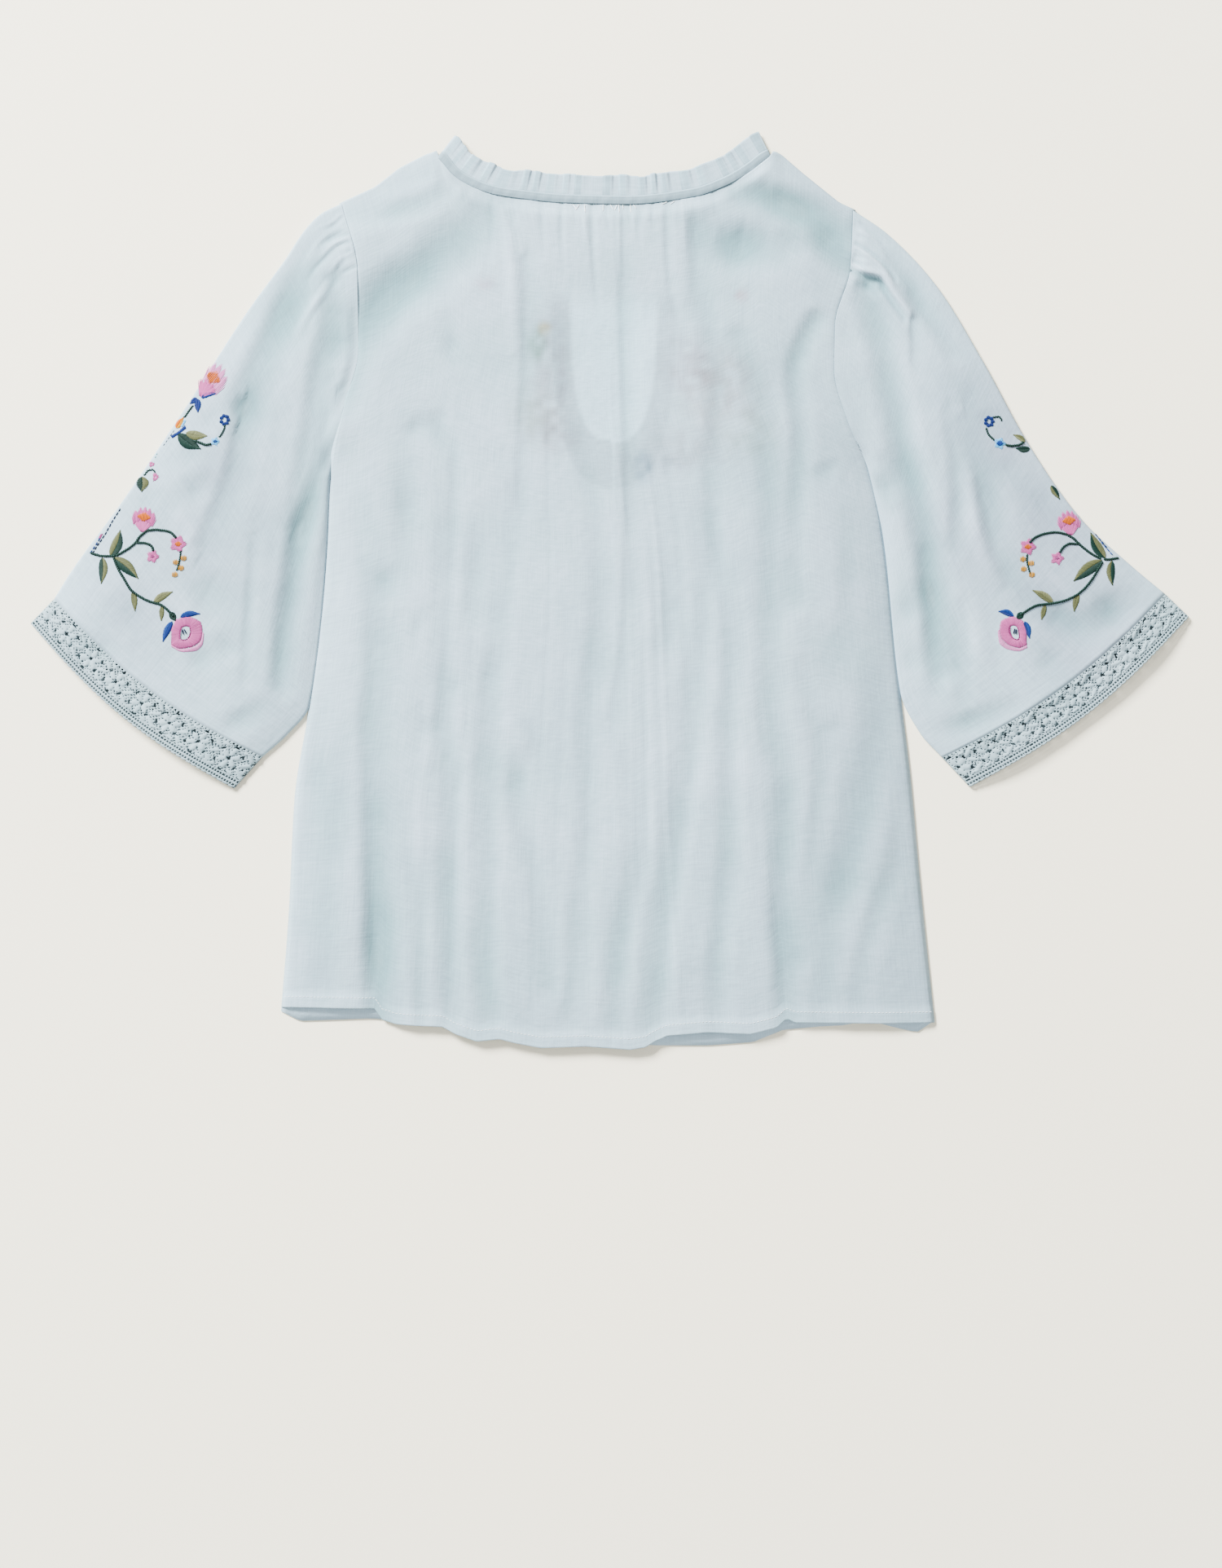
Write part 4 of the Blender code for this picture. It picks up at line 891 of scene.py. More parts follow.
RIGHT_CAP_PLEATS = (
    (2.4, 2.2, 1.2, 3.0, 2.8, (1057, 275), (1063, 280), (1067, 284.5), (1075, 290), (1083, 298)),
    (-1.6, -1.4, -0.3, 2.4, 2.6, (1060, 273), (1067, 279), (1074, 285), (1080, 290)),
    (1.8, 1.6, 0.2, 2.4, 2.6, (1054, 290), (1059, 293), (1064, 295)),
    (-1.2, -1.2, -0.3, 2.4, 2.8, (1056, 285), (1066, 291), (1077, 301), (1086, 316)),
    (2.0, 2.4, 1.2, 3.4, 3.0, (1051, 300), (1058, 305), (1065, 310), (1077, 320), (1089, 330), (1099, 344)),
    (-1.6, -1.8, -0.6, 2.6, 2.8, (1050, 306), (1060, 311), (1072, 320), (1084, 333), (1096, 350)),
    (1.8, 1.4, 0.2, 1.8, 1.8, (1050, 308), (1055, 310.5), (1060, 313)),
    (2.0, 1.6, 0.2, 2.0, 2.0, (1049.5, 314.5), (1056, 317), (1063, 320.5)),
    (2.0, 1.6, 0.2, 2.2, 2.0, (1047, 322), (1053, 324), (1058, 328), (1066, 335)),
    (-1.2, -1.0, -0.3, 2.0, 2.0, (1047, 326), (1055, 331), (1066, 337)),
    (2.8, 3.4, 1.8, 6.0, 2.6, (1044, 332), (1053, 336), (1064, 340), (1080, 345), (1088, 358), (1098, 374),
        (1110, 392)),
    (-1.2, -2.0, -1.2, 3.0, 6.0, (1060, 336), (1080, 340), (1092, 354), (1102, 368), (1116, 386)),
    (1.2, 2.8, 1.2, 9.0, 9.0, (1056, 348), (1066, 350), (1076, 354)),
)


def sleeve_relief(side, rows, mirror, seed):
    """A function that tells how far a sleeve's upper layer rises, and how deep its folds are there."""

    def relief(x, y, inset):
        fullness = rounded(inset)
        folds = 0.0 * x
        for row in rows:
            folds = folds + crease(x, y, row)
        crumple = 0.6 * soft_noise(x, y, 44, seed) + 0.25 * soft_noise(x, y, 18, seed + 1)
        folds = folds - crumple - 0.06 * soft_noise(x, y, 7, seed + 2)
        height = np.maximum((SLEEVE_PUFF - folds) * fullness, 0)
        seam_x = side_x(side, y)
        from_seam = mirror * (x - seam_x)
        seam_height = back_height(seam_x, y, 0.0, 0.0) - UPPER_TOP
        near = (1 - ease(from_seam, 0, 9)) * ease(y, 88, 110) * rounded(inset, 10)
        height = height * (1 - near) + (seam_height + 0.14 - 0.35 * folds) * near
        return np.maximum(height, 0), folds * fullness

    return relief


LACE_DEPTH = 30.0
LACE_REPEAT = 26.0
LACE_CELL = 0.75
# Height of a flower's middle above the seam
FLOWER_AT = 12.6
# Leaves between two flowers, from the middle of the gap
LACE_LEAVES = (
    # across, up from the seam, turn, half-length, half-width
    (0.0, 6.0, 0.5, 4.6, 1.7),
    (0.0, 12.5, -0.5, 4.6, 1.7),
    (0.0, 19.0, 0.5, 4.6, 1.7),
    (-5.0, 21.4, 0.1, 3.4, 1.2),
    (5.0, 21.4, -0.1, 3.4, 1.2),
    (-4.6, 3.9, -0.1, 3.4, 1.2),
    (4.6, 3.9, 0.1, 3.4, 1.2),
)


def from_flower(a):
    """Distance along the lace from the nearest flower's middle."""
    return (a + 0.5 * LACE_REPEAT) % LACE_REPEAT - 0.5 * LACE_REPEAT


def lace_leaf(x, y, turn, length, width):
    """1 in the middle of one crocheted leaf and 0 at its edge."""
    out = x * math.cos(turn) + y * math.sin(turn)
    side = -x * math.sin(turn) + y * math.cos(turn)
    return 1 - np.hypot(out / length, side / width)


def petals(a, b):
    """How raised the crocheted flowers and leaves of the lace are at each place along and across it."""
    raised = np.zeros(a.shape)
    along = from_flower(a)
    for k in range(6):
        turn = math.radians(60 * k + 30)
        middle_x, middle_y = 5.0 * math.cos(turn), FLOWER_AT + 5.0 * math.sin(turn)
        raised = np.maximum(raised, lace_leaf(along - middle_x, b - middle_y, turn, 3.9, 2.3))
    half = (a % LACE_REPEAT) - 0.5 * LACE_REPEAT
    for x0, y0, turn, length, width in LACE_LEAVES:
        raised = np.maximum(raised, lace_leaf(half - x0, b - y0, turn, length, width))
    return np.clip(raised * 2.2, 0, 1)


def lace_keeps(a, b):
    """True where the lace has thread and False in its holes."""
    row = np.floor(b / 1.5).astype(int)
    luck = np.random.default_rng(8).uniform(0, 1, (2,) + a.shape)
    mesh_hole = (((a + 1.5 * (row % 2)) % 3.0) < 1.5) & (((b % 1.5) < 0.76) | (luck[1] < 0.4))
    field = (b > 2.6) & (b < 23.2)
    holes = mesh_hole & field & (luck[0] < 0.7) & (petals(a, b) < 0.5)
    along = from_flower(a)
    reach = np.hypot(along, b - FLOWER_AT)
    holes |= reach < 1.25
    between = np.cos(6 * np.arctan2(b - FLOWER_AT, along) - math.pi) > 0.6
    holes |= (reach > 8.8) & (reach < 10.4) & between & field
    holes |= (np.abs(b - 1.4) < 0.5) & ((a % 3.0) < 0.9)
    holes |= (np.abs(b - 24.7) < 0.8) & ((a % 2.25) < 1.5)
    holes |= (np.abs(b - 27.7) < 0.8) & (((a + 1.1) % 2.25) < 1.5)
    holes |= (b > LACE_DEPTH - 0.8) & ((a % 4.5) < 1.4)
    return ~holes


# Painted shade: where a sleeve is painted greyer, standing in for shade on its outer part: the middle (from the
# garment's middle), the half-sizes and how much
SLEEVE_SHADE_PLACES = (
    (262, 19, 28, 56, 0.11),
    (292, 124, 34, 44, 0.24),
    (300, 60, 40, 40, 0.16),
    (348, 18, 46, 52, 0.26),
    (372, -36, 50, 30, 0.07),
)


def painted_sleeve_shade(x, y, mirror, seed):
    """The painted shade of a sleeve's greyer places, stronger on the right sleeve."""
    shade = 0.0
    for middle_x, middle_y, half_x, half_y, amount in SLEEVE_SHADE_PLACES:
        shade = shade + amount * blot(x, y, mirror * middle_x, middle_y, half_x, half_y, 0.8)
    shade = shade * (0.85 + 0.3 * soft_noise(x, y, 30, seed))
    return 1 - (0.8 + 0.2 * mirror) * shade[..., None] * np.array([0.8, 1.05, 0.9])


def build_sleeve(which, side, outer, inner, lace_edge, mirror, folds, seed):
    """A sleeve and its cuff lace, both of them flattened tubes."""
    stations, across, lace_places = 140, 120, 272
    plan, t = sleeve_plan(side, outer, inner, mirror, stations, across)
    relief = sleeve_relief(side, folds, mirror, seed)
    rings, tint = tube_rings(plan, t, relief, seed + 5)
    # Painted shade over the sleeve's greyer places
    tint = tint * painted_sleeve_shade(rings[:, :, 0] - mirror * MM_PER_PIXEL, rings[:, :, 1], mirror, seed + 9)
    if mirror < 0:
        rings, tint = rings[:, ::-1], tint[:, ::-1]
    grain = (np.linspace(0, 520, rings.shape[1] + 1), np.linspace(0, 330, stations))
    sleeve = cloth_piece("sleeve_" + which + "_cloth", rings, True, VOILE, CLOTH, grain, tint)
    fine = np.linspace(0, 1, lace_places)
    seam = smooth(t, plan[-1], fine)
    return sleeve, build_lace(which, seam, fine, lace_edge, mirror, relief, seed + 5)


def build_lace(which, seam, fine, lace_edge, mirror, relief, seed):
    """A cuff's band of lace: open in its upper layer, and left whole in the lower one, out of sight, which is
    painted much darker as painted shade seen through the holes.
    """
    start, end = np.array(lace_edge)
    width = np.linalg.norm(end - start)
    free = start * (1 - fine[:, None]) + end * fine[:, None] + cuff_bow(start, end, fine, mirror)
    rows = int(LACE_DEPTH / LACE_CELL)
    places = np.linspace(-0.015, 1, rows + 1)[:, None, None]
    rings, tint = tube_rings(seam * (1 - places) + free * places, fine, relief, seed)
    columns = rings.shape[1]
    a = np.concatenate([np.linspace(0, width, columns // 2), np.linspace(width, 2 * width, columns // 2)])
    a, b = np.meshgrid(a, np.linspace(0, LACE_DEPTH, rows + 1))
    z = rings[:, :, 2]
    upper = z > 2.0
    thinner = 1 - 0.3 * ease(b, 1.0, 12.0)
    z = np.where(upper, UPPER_TOP + (z - UPPER_TOP) * thinner, z)
    rings[:, :, 2] = z + (0.6 * petals(a, b) - 0.15 * (b < 0.4)) * upper
    # Painted shade: the hidden lower layer is painted much darker, so that the holes show shaded lace and not the
    # floor
    tint = tint * np.where(upper, 1.0 + 0.1 * petals(a, b), 0.42)[..., None]
    keep = lace_keeps(a[:-1] + 0.5 * LACE_CELL, b[:-1] + 0.5 * LACE_CELL) | ~upper[:-1]
    if mirror < 0:
        rings, tint = rings[:, ::-1], tint[:, ::-1]
        keep = np.roll(keep[:, ::-1], -1, axis=1)
    grain = (np.linspace(0, 410, columns + 1), np.linspace(0, 30, rows + 1))
    return cloth_piece("cuff_lace_" + which + "_band", rings, True, LACE_COTTON, LACE_THREAD, grain, tint, keep)


# Neck binding and frill

def neck_rings(count, widths, lift):
    """Rows of points along the neck path, `widths` from the seam outwards, moved out and raised by `lift`."""
    at = np.linspace(0, 1, count + 1)
    x, y, points_to, z, on_back, wave = along_neck(at)
    turn = np.radians(points_to)
    rings = []
    for width in widths:
        out = (width - widths[0]) / (widths[-1] - widths[0])
        reach, raised = lift(at, on_back, wave, out)
        reach = width + reach
        rings.append(np.stack([x + reach * np.cos(turn), y + reach * np.sin(turn), z + raised], axis=1))
    return np.array(rings)


def binding_crown(at, on_back, wave, out):
    """A softly domed strip with a sharper fold along its outer edge."""
    dome = (0.55 * np.sin(np.pi * out) + 0.25 * math.exp(-(((out - 0.88) / 0.09) ** 2))) * (0.4 + 0.6 * on_back)
    wobble = 0.12 * np.sin(2 * np.pi * 61 * at) + 0.1 * np.sin(2 * np.pi * 37 * at + 1)
    return 0.0 * at, dome + wobble * on_back * np.sin(np.pi * out)


def build_binding():
    """The narrow folded strip round the neck."""
    columns = 560
    out = np.linspace(0, 1, STRIP_ROWS)
    rings = neck_rings(columns, 0.1 + (BINDING_WIDTH + 0.2) * out, binding_crown)
    # Painted highlight along the binding's outer fold, and painted shade next to its seam
    painted_shading = 1 + 0.34 * ease(out, 0.8, 0.92) - 0.1 * ease(-out, -0.12, 0.0)
    tint = painted_shading[:, None, None] * np.ones((STRIP_ROWS, columns + 1, 3))
    grain = (np.linspace(0, 640, columns + 1), np.linspace(0, 6, STRIP_ROWS))
    return cloth_piece("neck_binding_strip", rings[::-1], False, TRIM_VOILE, FOLDED_CLOTH, grain, tint[::-1])


def frill_pleats(at):
    """Where the frill's uneven pleats are: from 0 to 1 across each, and a number for each of them."""
    uneven = at + 0.007 * np.sin(2 * np.pi * 7 * at) + 0.004 * np.sin(2 * np.pi * 17 * at + 1)
    place = RUFFLE_WAVES * uneven
    return place % 1, np.floor(place).astype(int)


def by_pleat(number, seed, low, high):
    """One random value for each pleat of the frill, read at the pleats' numbers."""
    count = RUFFLE_WAVES + 3
    return np.random.default_rng(seed).uniform(low, high, count)[number % count]


def frill_waves(at, on_back, wave, out):
    """Uneven flattened pleats, with a slightly stepped free edge."""
    place, number = frill_pleats(at)
    folded = ease(place, 0.02, 0.14) * ease(-place, -0.72, -0.5)
    raised = wave * (0.15 + 0.85 * out) * (0.85 * by_pleat(number, 17, 0.3, 1.0) * folded + (1 - on_back))
    step = by_pleat(number, 18, -1.0, 1.0)
    reach = out * (0.8 * folded * step + 0.5 * np.sin(0.37 * 2 * np.pi * RUFFLE_WAVES * at)) * (0.3 + 0.7 * on_back)
    return reach, raised


def build_frill():
    """The pleated ruffle that stands out from the binding."""
    columns = 1100
    out = np.linspace(0, 1, STRIP_ROWS)
    rings = neck_rings(columns, BINDING_WIDTH - 0.2 + (RUFFLE_WIDTH + 0.9) * out, frill_waves)
    place, number = frill_pleats(np.linspace(0, 1, columns + 1))
    shade = by_pleat(number, 19, 0.66, 1.0)
    doubled = ease(place, 0.0, 0.05) * ease(-place, -0.52, -0.42)
    edge = ease(place, 0.0, 0.03) * ease(-place, -0.12, -0.08)
    out = out[:, None]
    # Painted shade: darker where a pleat lies doubled under its fold, partly the real deeper tone of doubled sheer
    # cloth, by a random amount for each pleat, and darker along each pleat's folded edge and next to the binding
    painted_shading = 1.04 - (1 - shade) * doubled * (0.55 + 0.45 * np.abs(2 * out - 1)) - 0.1 * edge
    painted_shading = painted_shading - 0.16 * ease(-out, -0.1, 0.0)
    tint = painted_shading[:, :, None] * np.array([0.98, 1.0, 1.0]) ** (4 * doubled[None, :, None])
    grain = (np.linspace(0, 900, columns + 1), np.linspace(0, 15, STRIP_ROWS))
    return cloth_piece("neck_frill", rings[::-1], False, VOILE, FINE_CLOTH, grain, tint[::-1])


back_panel = build_back()
front_panel = build_front()
facing = build_facing()
sleeve_left, lace_left = build_sleeve(
    "left", LEFT_SIDE, LEFT_OUTER, LEFT_INNER, LEFT_LACE_EDGE, -1, LEFT_SLEEVE_FOLDS + LEFT_CAP_PLEATS, 11
)
sleeve_right, lace_right = build_sleeve(
    "right", RIGHT_SIDE, RIGHT_OUTER, RIGHT_INNER, RIGHT_LACE_EDGE, 1, RIGHT_SLEEVE_FOLDS + RIGHT_CAP_PLEATS, 21
)
binding = build_binding()
frill = build_frill()

# Embroidery and sewing

# Colours of the threads
DARK_GREEN = "#0a241e"
OLIVE = "#4c5033"
PALE_OLIVE = "#5e6244"
NAVY = "#0a1f56"
DEEP_NAVY = "#060f2c"
PINK = "#9c467c"
PALE_PINK = "#b670a0"
ROSE = "#7c2b5f"
ORANGE = "#a85200"
YELLOW = "#a87400"
SKY = "#4c9ccb"
BLUE = "#0d2f6b"
SEWING = "#dfe7ea"


def one_stitch():
    """One stitch of thread, a unit long and a unit thick, with ends that dip into the cloth."""
    bpy.ops.object.select_all(action="DESELECT")
    bpy.ops.mesh.primitive_cylinder_add(
        vertices=5, radius=0.5, depth=1.0, end_fill_type="NGON", rotation=(0.0, math.pi / 2, 0.0)
    )
    stitch = bpy.context.active_object
    bpy.ops.object.transform_apply(location=False, rotation=True, scale=False)
    bpy.ops.object.mode_set(mode="EDIT")
    for place in (-0.3, 0.0, 0.3):
        bpy.ops.mesh.select_all(action="SELECT")
        bpy.ops.mesh.bisect(plane_co=(place, 0.0, 0.0), plane_no=(1.0, 0.0, 0.0))
    bpy.ops.object.mode_set(mode="OBJECT")
    points = np.empty(len(stitch.data.vertices) * 3)
    stitch.data.vertices.foreach_get("co", points)
    faces = [tuple(face.vertices) for face in stitch.data.polygons]
    bpy.data.objects.remove(stitch)
    points = points.reshape(-1, 3)
    points[:, 1:] *= np.where(np.abs(points[:, :1]) > 0.45, 0.45, 1.0)
    return points, faces


STITCH_POINTS, STITCH_FACES = one_stitch()
# Height of a stitch's end that misses the cloth
BESIDE_CLOTH = 1.4
hand = np.random.default_rng(3)


def sew(stitches, starts, ends, width, colour, lift=0.0):
    """Adds one stitch from each start to each end."""
    for start, end in zip(starts, ends):
        stitches.append((*start, *end, width, lift, colour))


def line_length(points):
    """Length of a line of points."""
    return np.linalg.norm(np.diff(points, axis=0), axis=1).sum()


def middles(count):
    """The middle of each of `count` equal shares of a length of 1."""
    return (np.arange(count) + 0.5) / count


def run(stitches, points, colour, width, length=2.2, gap=0.6, lift=0.0):
    """A running line of stitches along a curve."""
    total = line_length(points)
    at = middles(max(int(total / (length + gap)), 1))
    half = 0.5 * length / total
    sew(stitches, line(points, at - half), line(points, at + half), width, colour, lift)


def rope(stitches, points, width=2.0):
    """A stem of slanting stitches that overlap like the strands of a rope."""
    at = middles(max(int(line_length(points) / 1.6), 2))
    middle = curve(points, at)
    ahead = curve(points, np.minimum(at + 0.01, 1)) - curve(points, np.maximum(at - 0.01, 0))
    ahead = ahead / np.linalg.norm(ahead, axis=1)[:, None]
    side = np.stack([-ahead[:, 1], ahead[:, 0]], axis=1)
    sew(stitches, middle - 1.1 * ahead + 0.6 * side, middle + 1.1 * ahead - 0.6 * side, width, DARK_GREEN)


def satin(stitches, left, right, colour, pitch=0.6, width=0.75, lift=0.0, closed=False):
    """Close parallel stitches from one edge line to the other."""
    if closed:
        left, right = np.vstack([left, left[:1]]), np.vstack([right, right[:1]])
    at = middles(max(int(max(line_length(left), line_length(right)) / pitch), 2))
    sew(stitches, curve(left, at), curve(right, at), width, colour, lift)


def leaf(stitches, base, tip, width, bow, left, right=None, pitch=0.6):
    """A satin-stitched leaf in two halves, each from the bowed rib out and forwards to its edge."""
    axis = tip - base
    length = np.linalg.norm(axis)
    side = np.array([-axis[1], axis[0]]) / length
    count = max(int(length / pitch), 4)
    t = (np.arange(count) + 0.3) / count
    ahead = np.minimum(t + 0.14, 1.0)
    rib = base + axis * t[:, None] + side * (bow * np.sin(np.pi * t))[:, None]
    for way, colour in ((1, left), (-1, right or left)):
        half = way * 0.5 * width * np.sin(np.pi * ahead**0.85) ** 0.85 + bow * np.sin(np.pi * ahead)
        edge = base + axis * ahead[:, None] + side * half[:, None]
        sew(stitches, rib - way * 0.35 * side, edge, 0.78, colour)


def blossom(stitches, centre, radius, colour, heart, heart_radius, lobes=5, count=46, squash=1.0):
    """A small flower of straight stitches that fan out to scalloped petals, round a heart of another colour."""
    turn = 2 * np.pi * np.arange(count) / count
    reach = radius * (0.82 + 0.16 * np.cos(lobes * turn)) + hand.uniform(-0.35, 0.35, count)
    way = np.stack([np.cos(turn), squash * np.sin(turn)], axis=1)
    sew(stitches, centre + way * 0.12 * radius, centre + way * reach[:, None], 0.7, colour)
    if heart:
        turn = np.linspace(-1, 1, max(int(heart_radius / 0.32), 3))
        half = heart_radius * np.sqrt(np.maximum(1 - turn**2, 0.15))
        down = centre + np.stack([turn * heart_radius, -half], axis=1)
        up = centre + np.stack([turn * heart_radius, half], axis=1)
        sew(stitches, down, up, 0.75, heart, 0.35)


def knots(stitches, centres, radius, colour, lift=0.2):
    """Small round dots of a few stitches."""
    for centre in centres:
        across = np.linspace(-0.7, 0.7, 4) * radius
        half = np.sqrt(np.maximum(radius**2 - across**2, 0.2))
        down = centre + np.stack([across, -half], axis=1)
        up = centre + np.stack([across, half], axis=1)
        sew(stitches, down, up, 0.8, colour, lift)


def tulip(stitches, base, top, width, petal, heart):
    """A flower seen from the side: a fan of pointed petals from its base, with a heart in its middle."""
    axis = top - base
    length = np.linalg.norm(axis)
    side = np.array([-axis[1], axis[0]]) / length
    spread = np.linspace(-1, 1, 34)
    spiky = 0.84 + 0.16 * np.abs(np.cos(2.5 * np.pi * spread))
    reach = (1 - 0.3 * spread**2) * spiky
    tips = base + axis * reach[:, None] + side * (0.5 * width * spread)[:, None]
    waist = base + axis * (0.42 * reach)[:, None] + side * (0.36 * width * spread)[:, None]
    root = base + axis * 0.04 + side * (0.04 * width * spread)[:, None]
    sew(stitches, waist, tips, 0.75, petal)
    sew(stitches, root, waist + 0.1 * axis, 0.75, PINK)
    middle = base + 0.6 * axis
    across = np.linspace(-0.24, 0.24, 12)
    half = 0.2 * length * (1 - np.abs(across) / 0.32)
    low = middle + side * (across * width)[:, None] - axis / length * half[:, None]
    high = middle + side * (across * width)[:, None] + axis / length * half[:, None]
    sew(stitches, low, high, 0.8, heart, 0.35)


def rose(stitches, outer, inner, skirt, line_ends):
    """An open rose: a wide satin ring, paler petals below it and two stamens in the bare middle."""
    middle = np.mean(inner, axis=0)
    inner = middle + (inner - middle) * np.array([0.6, 0.85])
    satin(stitches, outer, inner, PINK, 0.62, 0.8, 0.1, True)
    satin(stitches, skirt, outer[3:8], PALE_PINK, 0.62, 0.78)
    run(stitches, np.vstack([inner[2:], inner[:1]]), ROSE, 0.7, 1.3, 0.1, 0.4)
    for start, end in line_ends:
        near, far = 0.65 * np.array([start, end]) + 0.35 * middle
        sew(stitches, near[None], far[None], 1.0, DEEP_NAVY, 0.5)


def ring(x, y, half_height):
    """Places in the photograph round a small ring."""
    return tuple((x + 4.4 * math.cos(k), y + half_height * math.sin(k)) for k in np.arange(7) * 0.9)


def on_garment(value):
    """Places in the photograph, single or in lines, as millimetres on the garment; other values stay."""
    if not isinstance(value, tuple):
        return value
    return np.array([on_garment(part) for part in value]) if isinstance(value[0], tuple) else spot(*value)


def embroidered(rows):
    """All the stitches of a table, in its order of sewing."""
    stitches = []
    for kind, *given in rows:
        kind(stitches, *(on_garment(value) for value in given))
    return stitches


# What is sewn on each sleeve, in order, at its places in the photograph
LEFT_EMBROIDERY = (
    # Top flower with navy sepals, at the sleeve's outer fold
    (tulip, (245, 489), (273, 447), 24.0, PALE_PINK, ORANGE),
    (leaf, (247, 489), (266, 484), 4.6, 1.2, NAVY),
    (leaf, (243, 490), (243, 507), 5.4, 0.0, NAVY),
    (leaf, (242, 489), (233, 496), 4.6, 0.0, NAVY),
    (rope, ((237, 498), (231, 506), (226, 513)), 1.3),
    (leaf, (216, 526), (225, 513), 5.4, 0.0, ORANGE, YELLOW),
    (satin, ((225, 524), (229, 517)), ((221, 524), (226, 515)), SKY),
    (satin, ((209, 535), (218, 530), (227, 522)), ((212, 539), (221, 533), (229, 527)), NAVY),
    (run, ((214, 528), (207, 538), (200, 548)), DEEP_NAVY, 0.6),
    (leaf, (218, 533), (247, 552), 10.0, -1.4, DARK_GREEN),
    (leaf, (228, 532), (255, 536), 7.6, -1.0, PALE_OLIVE, OLIVE),
    (rope, ((240, 542), (248, 545), (254, 547), (260, 546))),
    (blossom, (265, 543), 3.9, SKY, BLUE, 1.5, 5, 26),
    (rope, ((270, 538), (274, 532), (276, 527), (277, 523)), 1.3),
    (knots, ring(276.4, 516.5, 5.2), 1.5, NAVY),
    # Buds and a leaf halfway down
    (run, ((193, 556), (190, 563)), "#4f8f94", 0.7, 1.6, 0.1),
    (blossom, (186, 570), 2.6, PINK, None, 0, 3, 16),
    (rope, ((177, 584), (182, 578), (187, 577), (191, 580)), 1.3),
    (blossom, (191, 586), 3.0, PINK, None, 0, 3, 18, 1.3),
    (leaf, (174, 585), (174, 604), 10.5, 0.6, OLIVE, DARK_GREEN),
    # Lower spray
    (run, ((148, 624), (139, 638), (129, 656), (121, 668), (113, 680)), DEEP_NAVY, 1.0, 3.0, 0.3, 0.2),
    (run, ((123, 660), (117, 670), (110, 680)), BLUE, 1.0, 3.0, 0.3, 0.2),
    (satin, ((123, 656), (120, 662)), ((127, 655), (124, 661)), ROSE),
    (rope, ((111, 679), (118, 681), (128, 683), (142, 683))),
    (leaf, (136, 684), (148, 651), 9.2, -1.6, OLIVE, DARK_GREEN),
    (leaf, (126, 684), (125, 717), 7.4, 1.2, OLIVE, DARK_GREEN),
    (leaf, (140, 685), (171, 711), 9.6, 1.0, OLIVE, DARK_GREEN),
    (rope, ((143, 683), (152, 678), (160, 673), (167, 667), (172, 660), (176, 656))),
    (rope, ((176, 656), (182, 652), (192, 651), (202, 652), (210, 654), (217, 661))),
    (rope, ((168, 667), (176, 667), (184, 669), (188, 673), (189, 677))),
    (tulip, (175, 655), (179, 622), 19.0, PINK, ORANGE),
    (blossom, (188.5, 684), 5.6, PINK, ROSE, 1.0, 5, 36, 1.0),
    (blossom, (219.6, 668.5), 7.4, PINK, ORANGE, 2.2, 5, 48),
    (rope, ((222.6, 677), (222, 685), (220, 694), (218, 701)), 1.3),
    (knots, ((226.6, 686), (216.6, 691), (223.3, 698), (215.5, 706)), 2.4, YELLOW),
    (rope, ((140, 685), (146, 699), (152, 709), (162, 725), (173, 733), (185, 739), (196, 742), (204, 747),
        (214, 757))),
    (leaf, (163.7, 726), (166.6, 750.5), 5.0, 0.6, OLIVE),
    (leaf, (189, 741), (213, 727), 6.0, 1.0, PALE_OLIVE, OLIVE),
    (leaf, (200, 744), (199, 762.5), 4.2, 0.0, OLIVE),
    (leaf, (210, 752), (217, 763), 5.6, 0.0, DARK_GREEN),
    (leaf, (222, 758), (246.5, 754), 5.0, 1.2, BLUE, NAVY),
    (leaf, (212.5, 763), (201, 788), 5.4, -0.6, NAVY, BLUE),
    (
        rose,
        ((216, 761), (230, 757), (248, 765), (250, 776), (248, 786), (236, 795), (222, 797), (211, 792),
            (211, 776)),
        ((222, 770), (230, 768), (238, 770), (239, 777), (236, 783), (229, 787), (221, 787), (218, 785),
            (219, 776)),
        ((251, 779), (250, 791), (240, 800), (226, 801), (212, 795)),
        (((223, 770), (225, 780)), ((226, 769), (231, 779))),
    ),
)


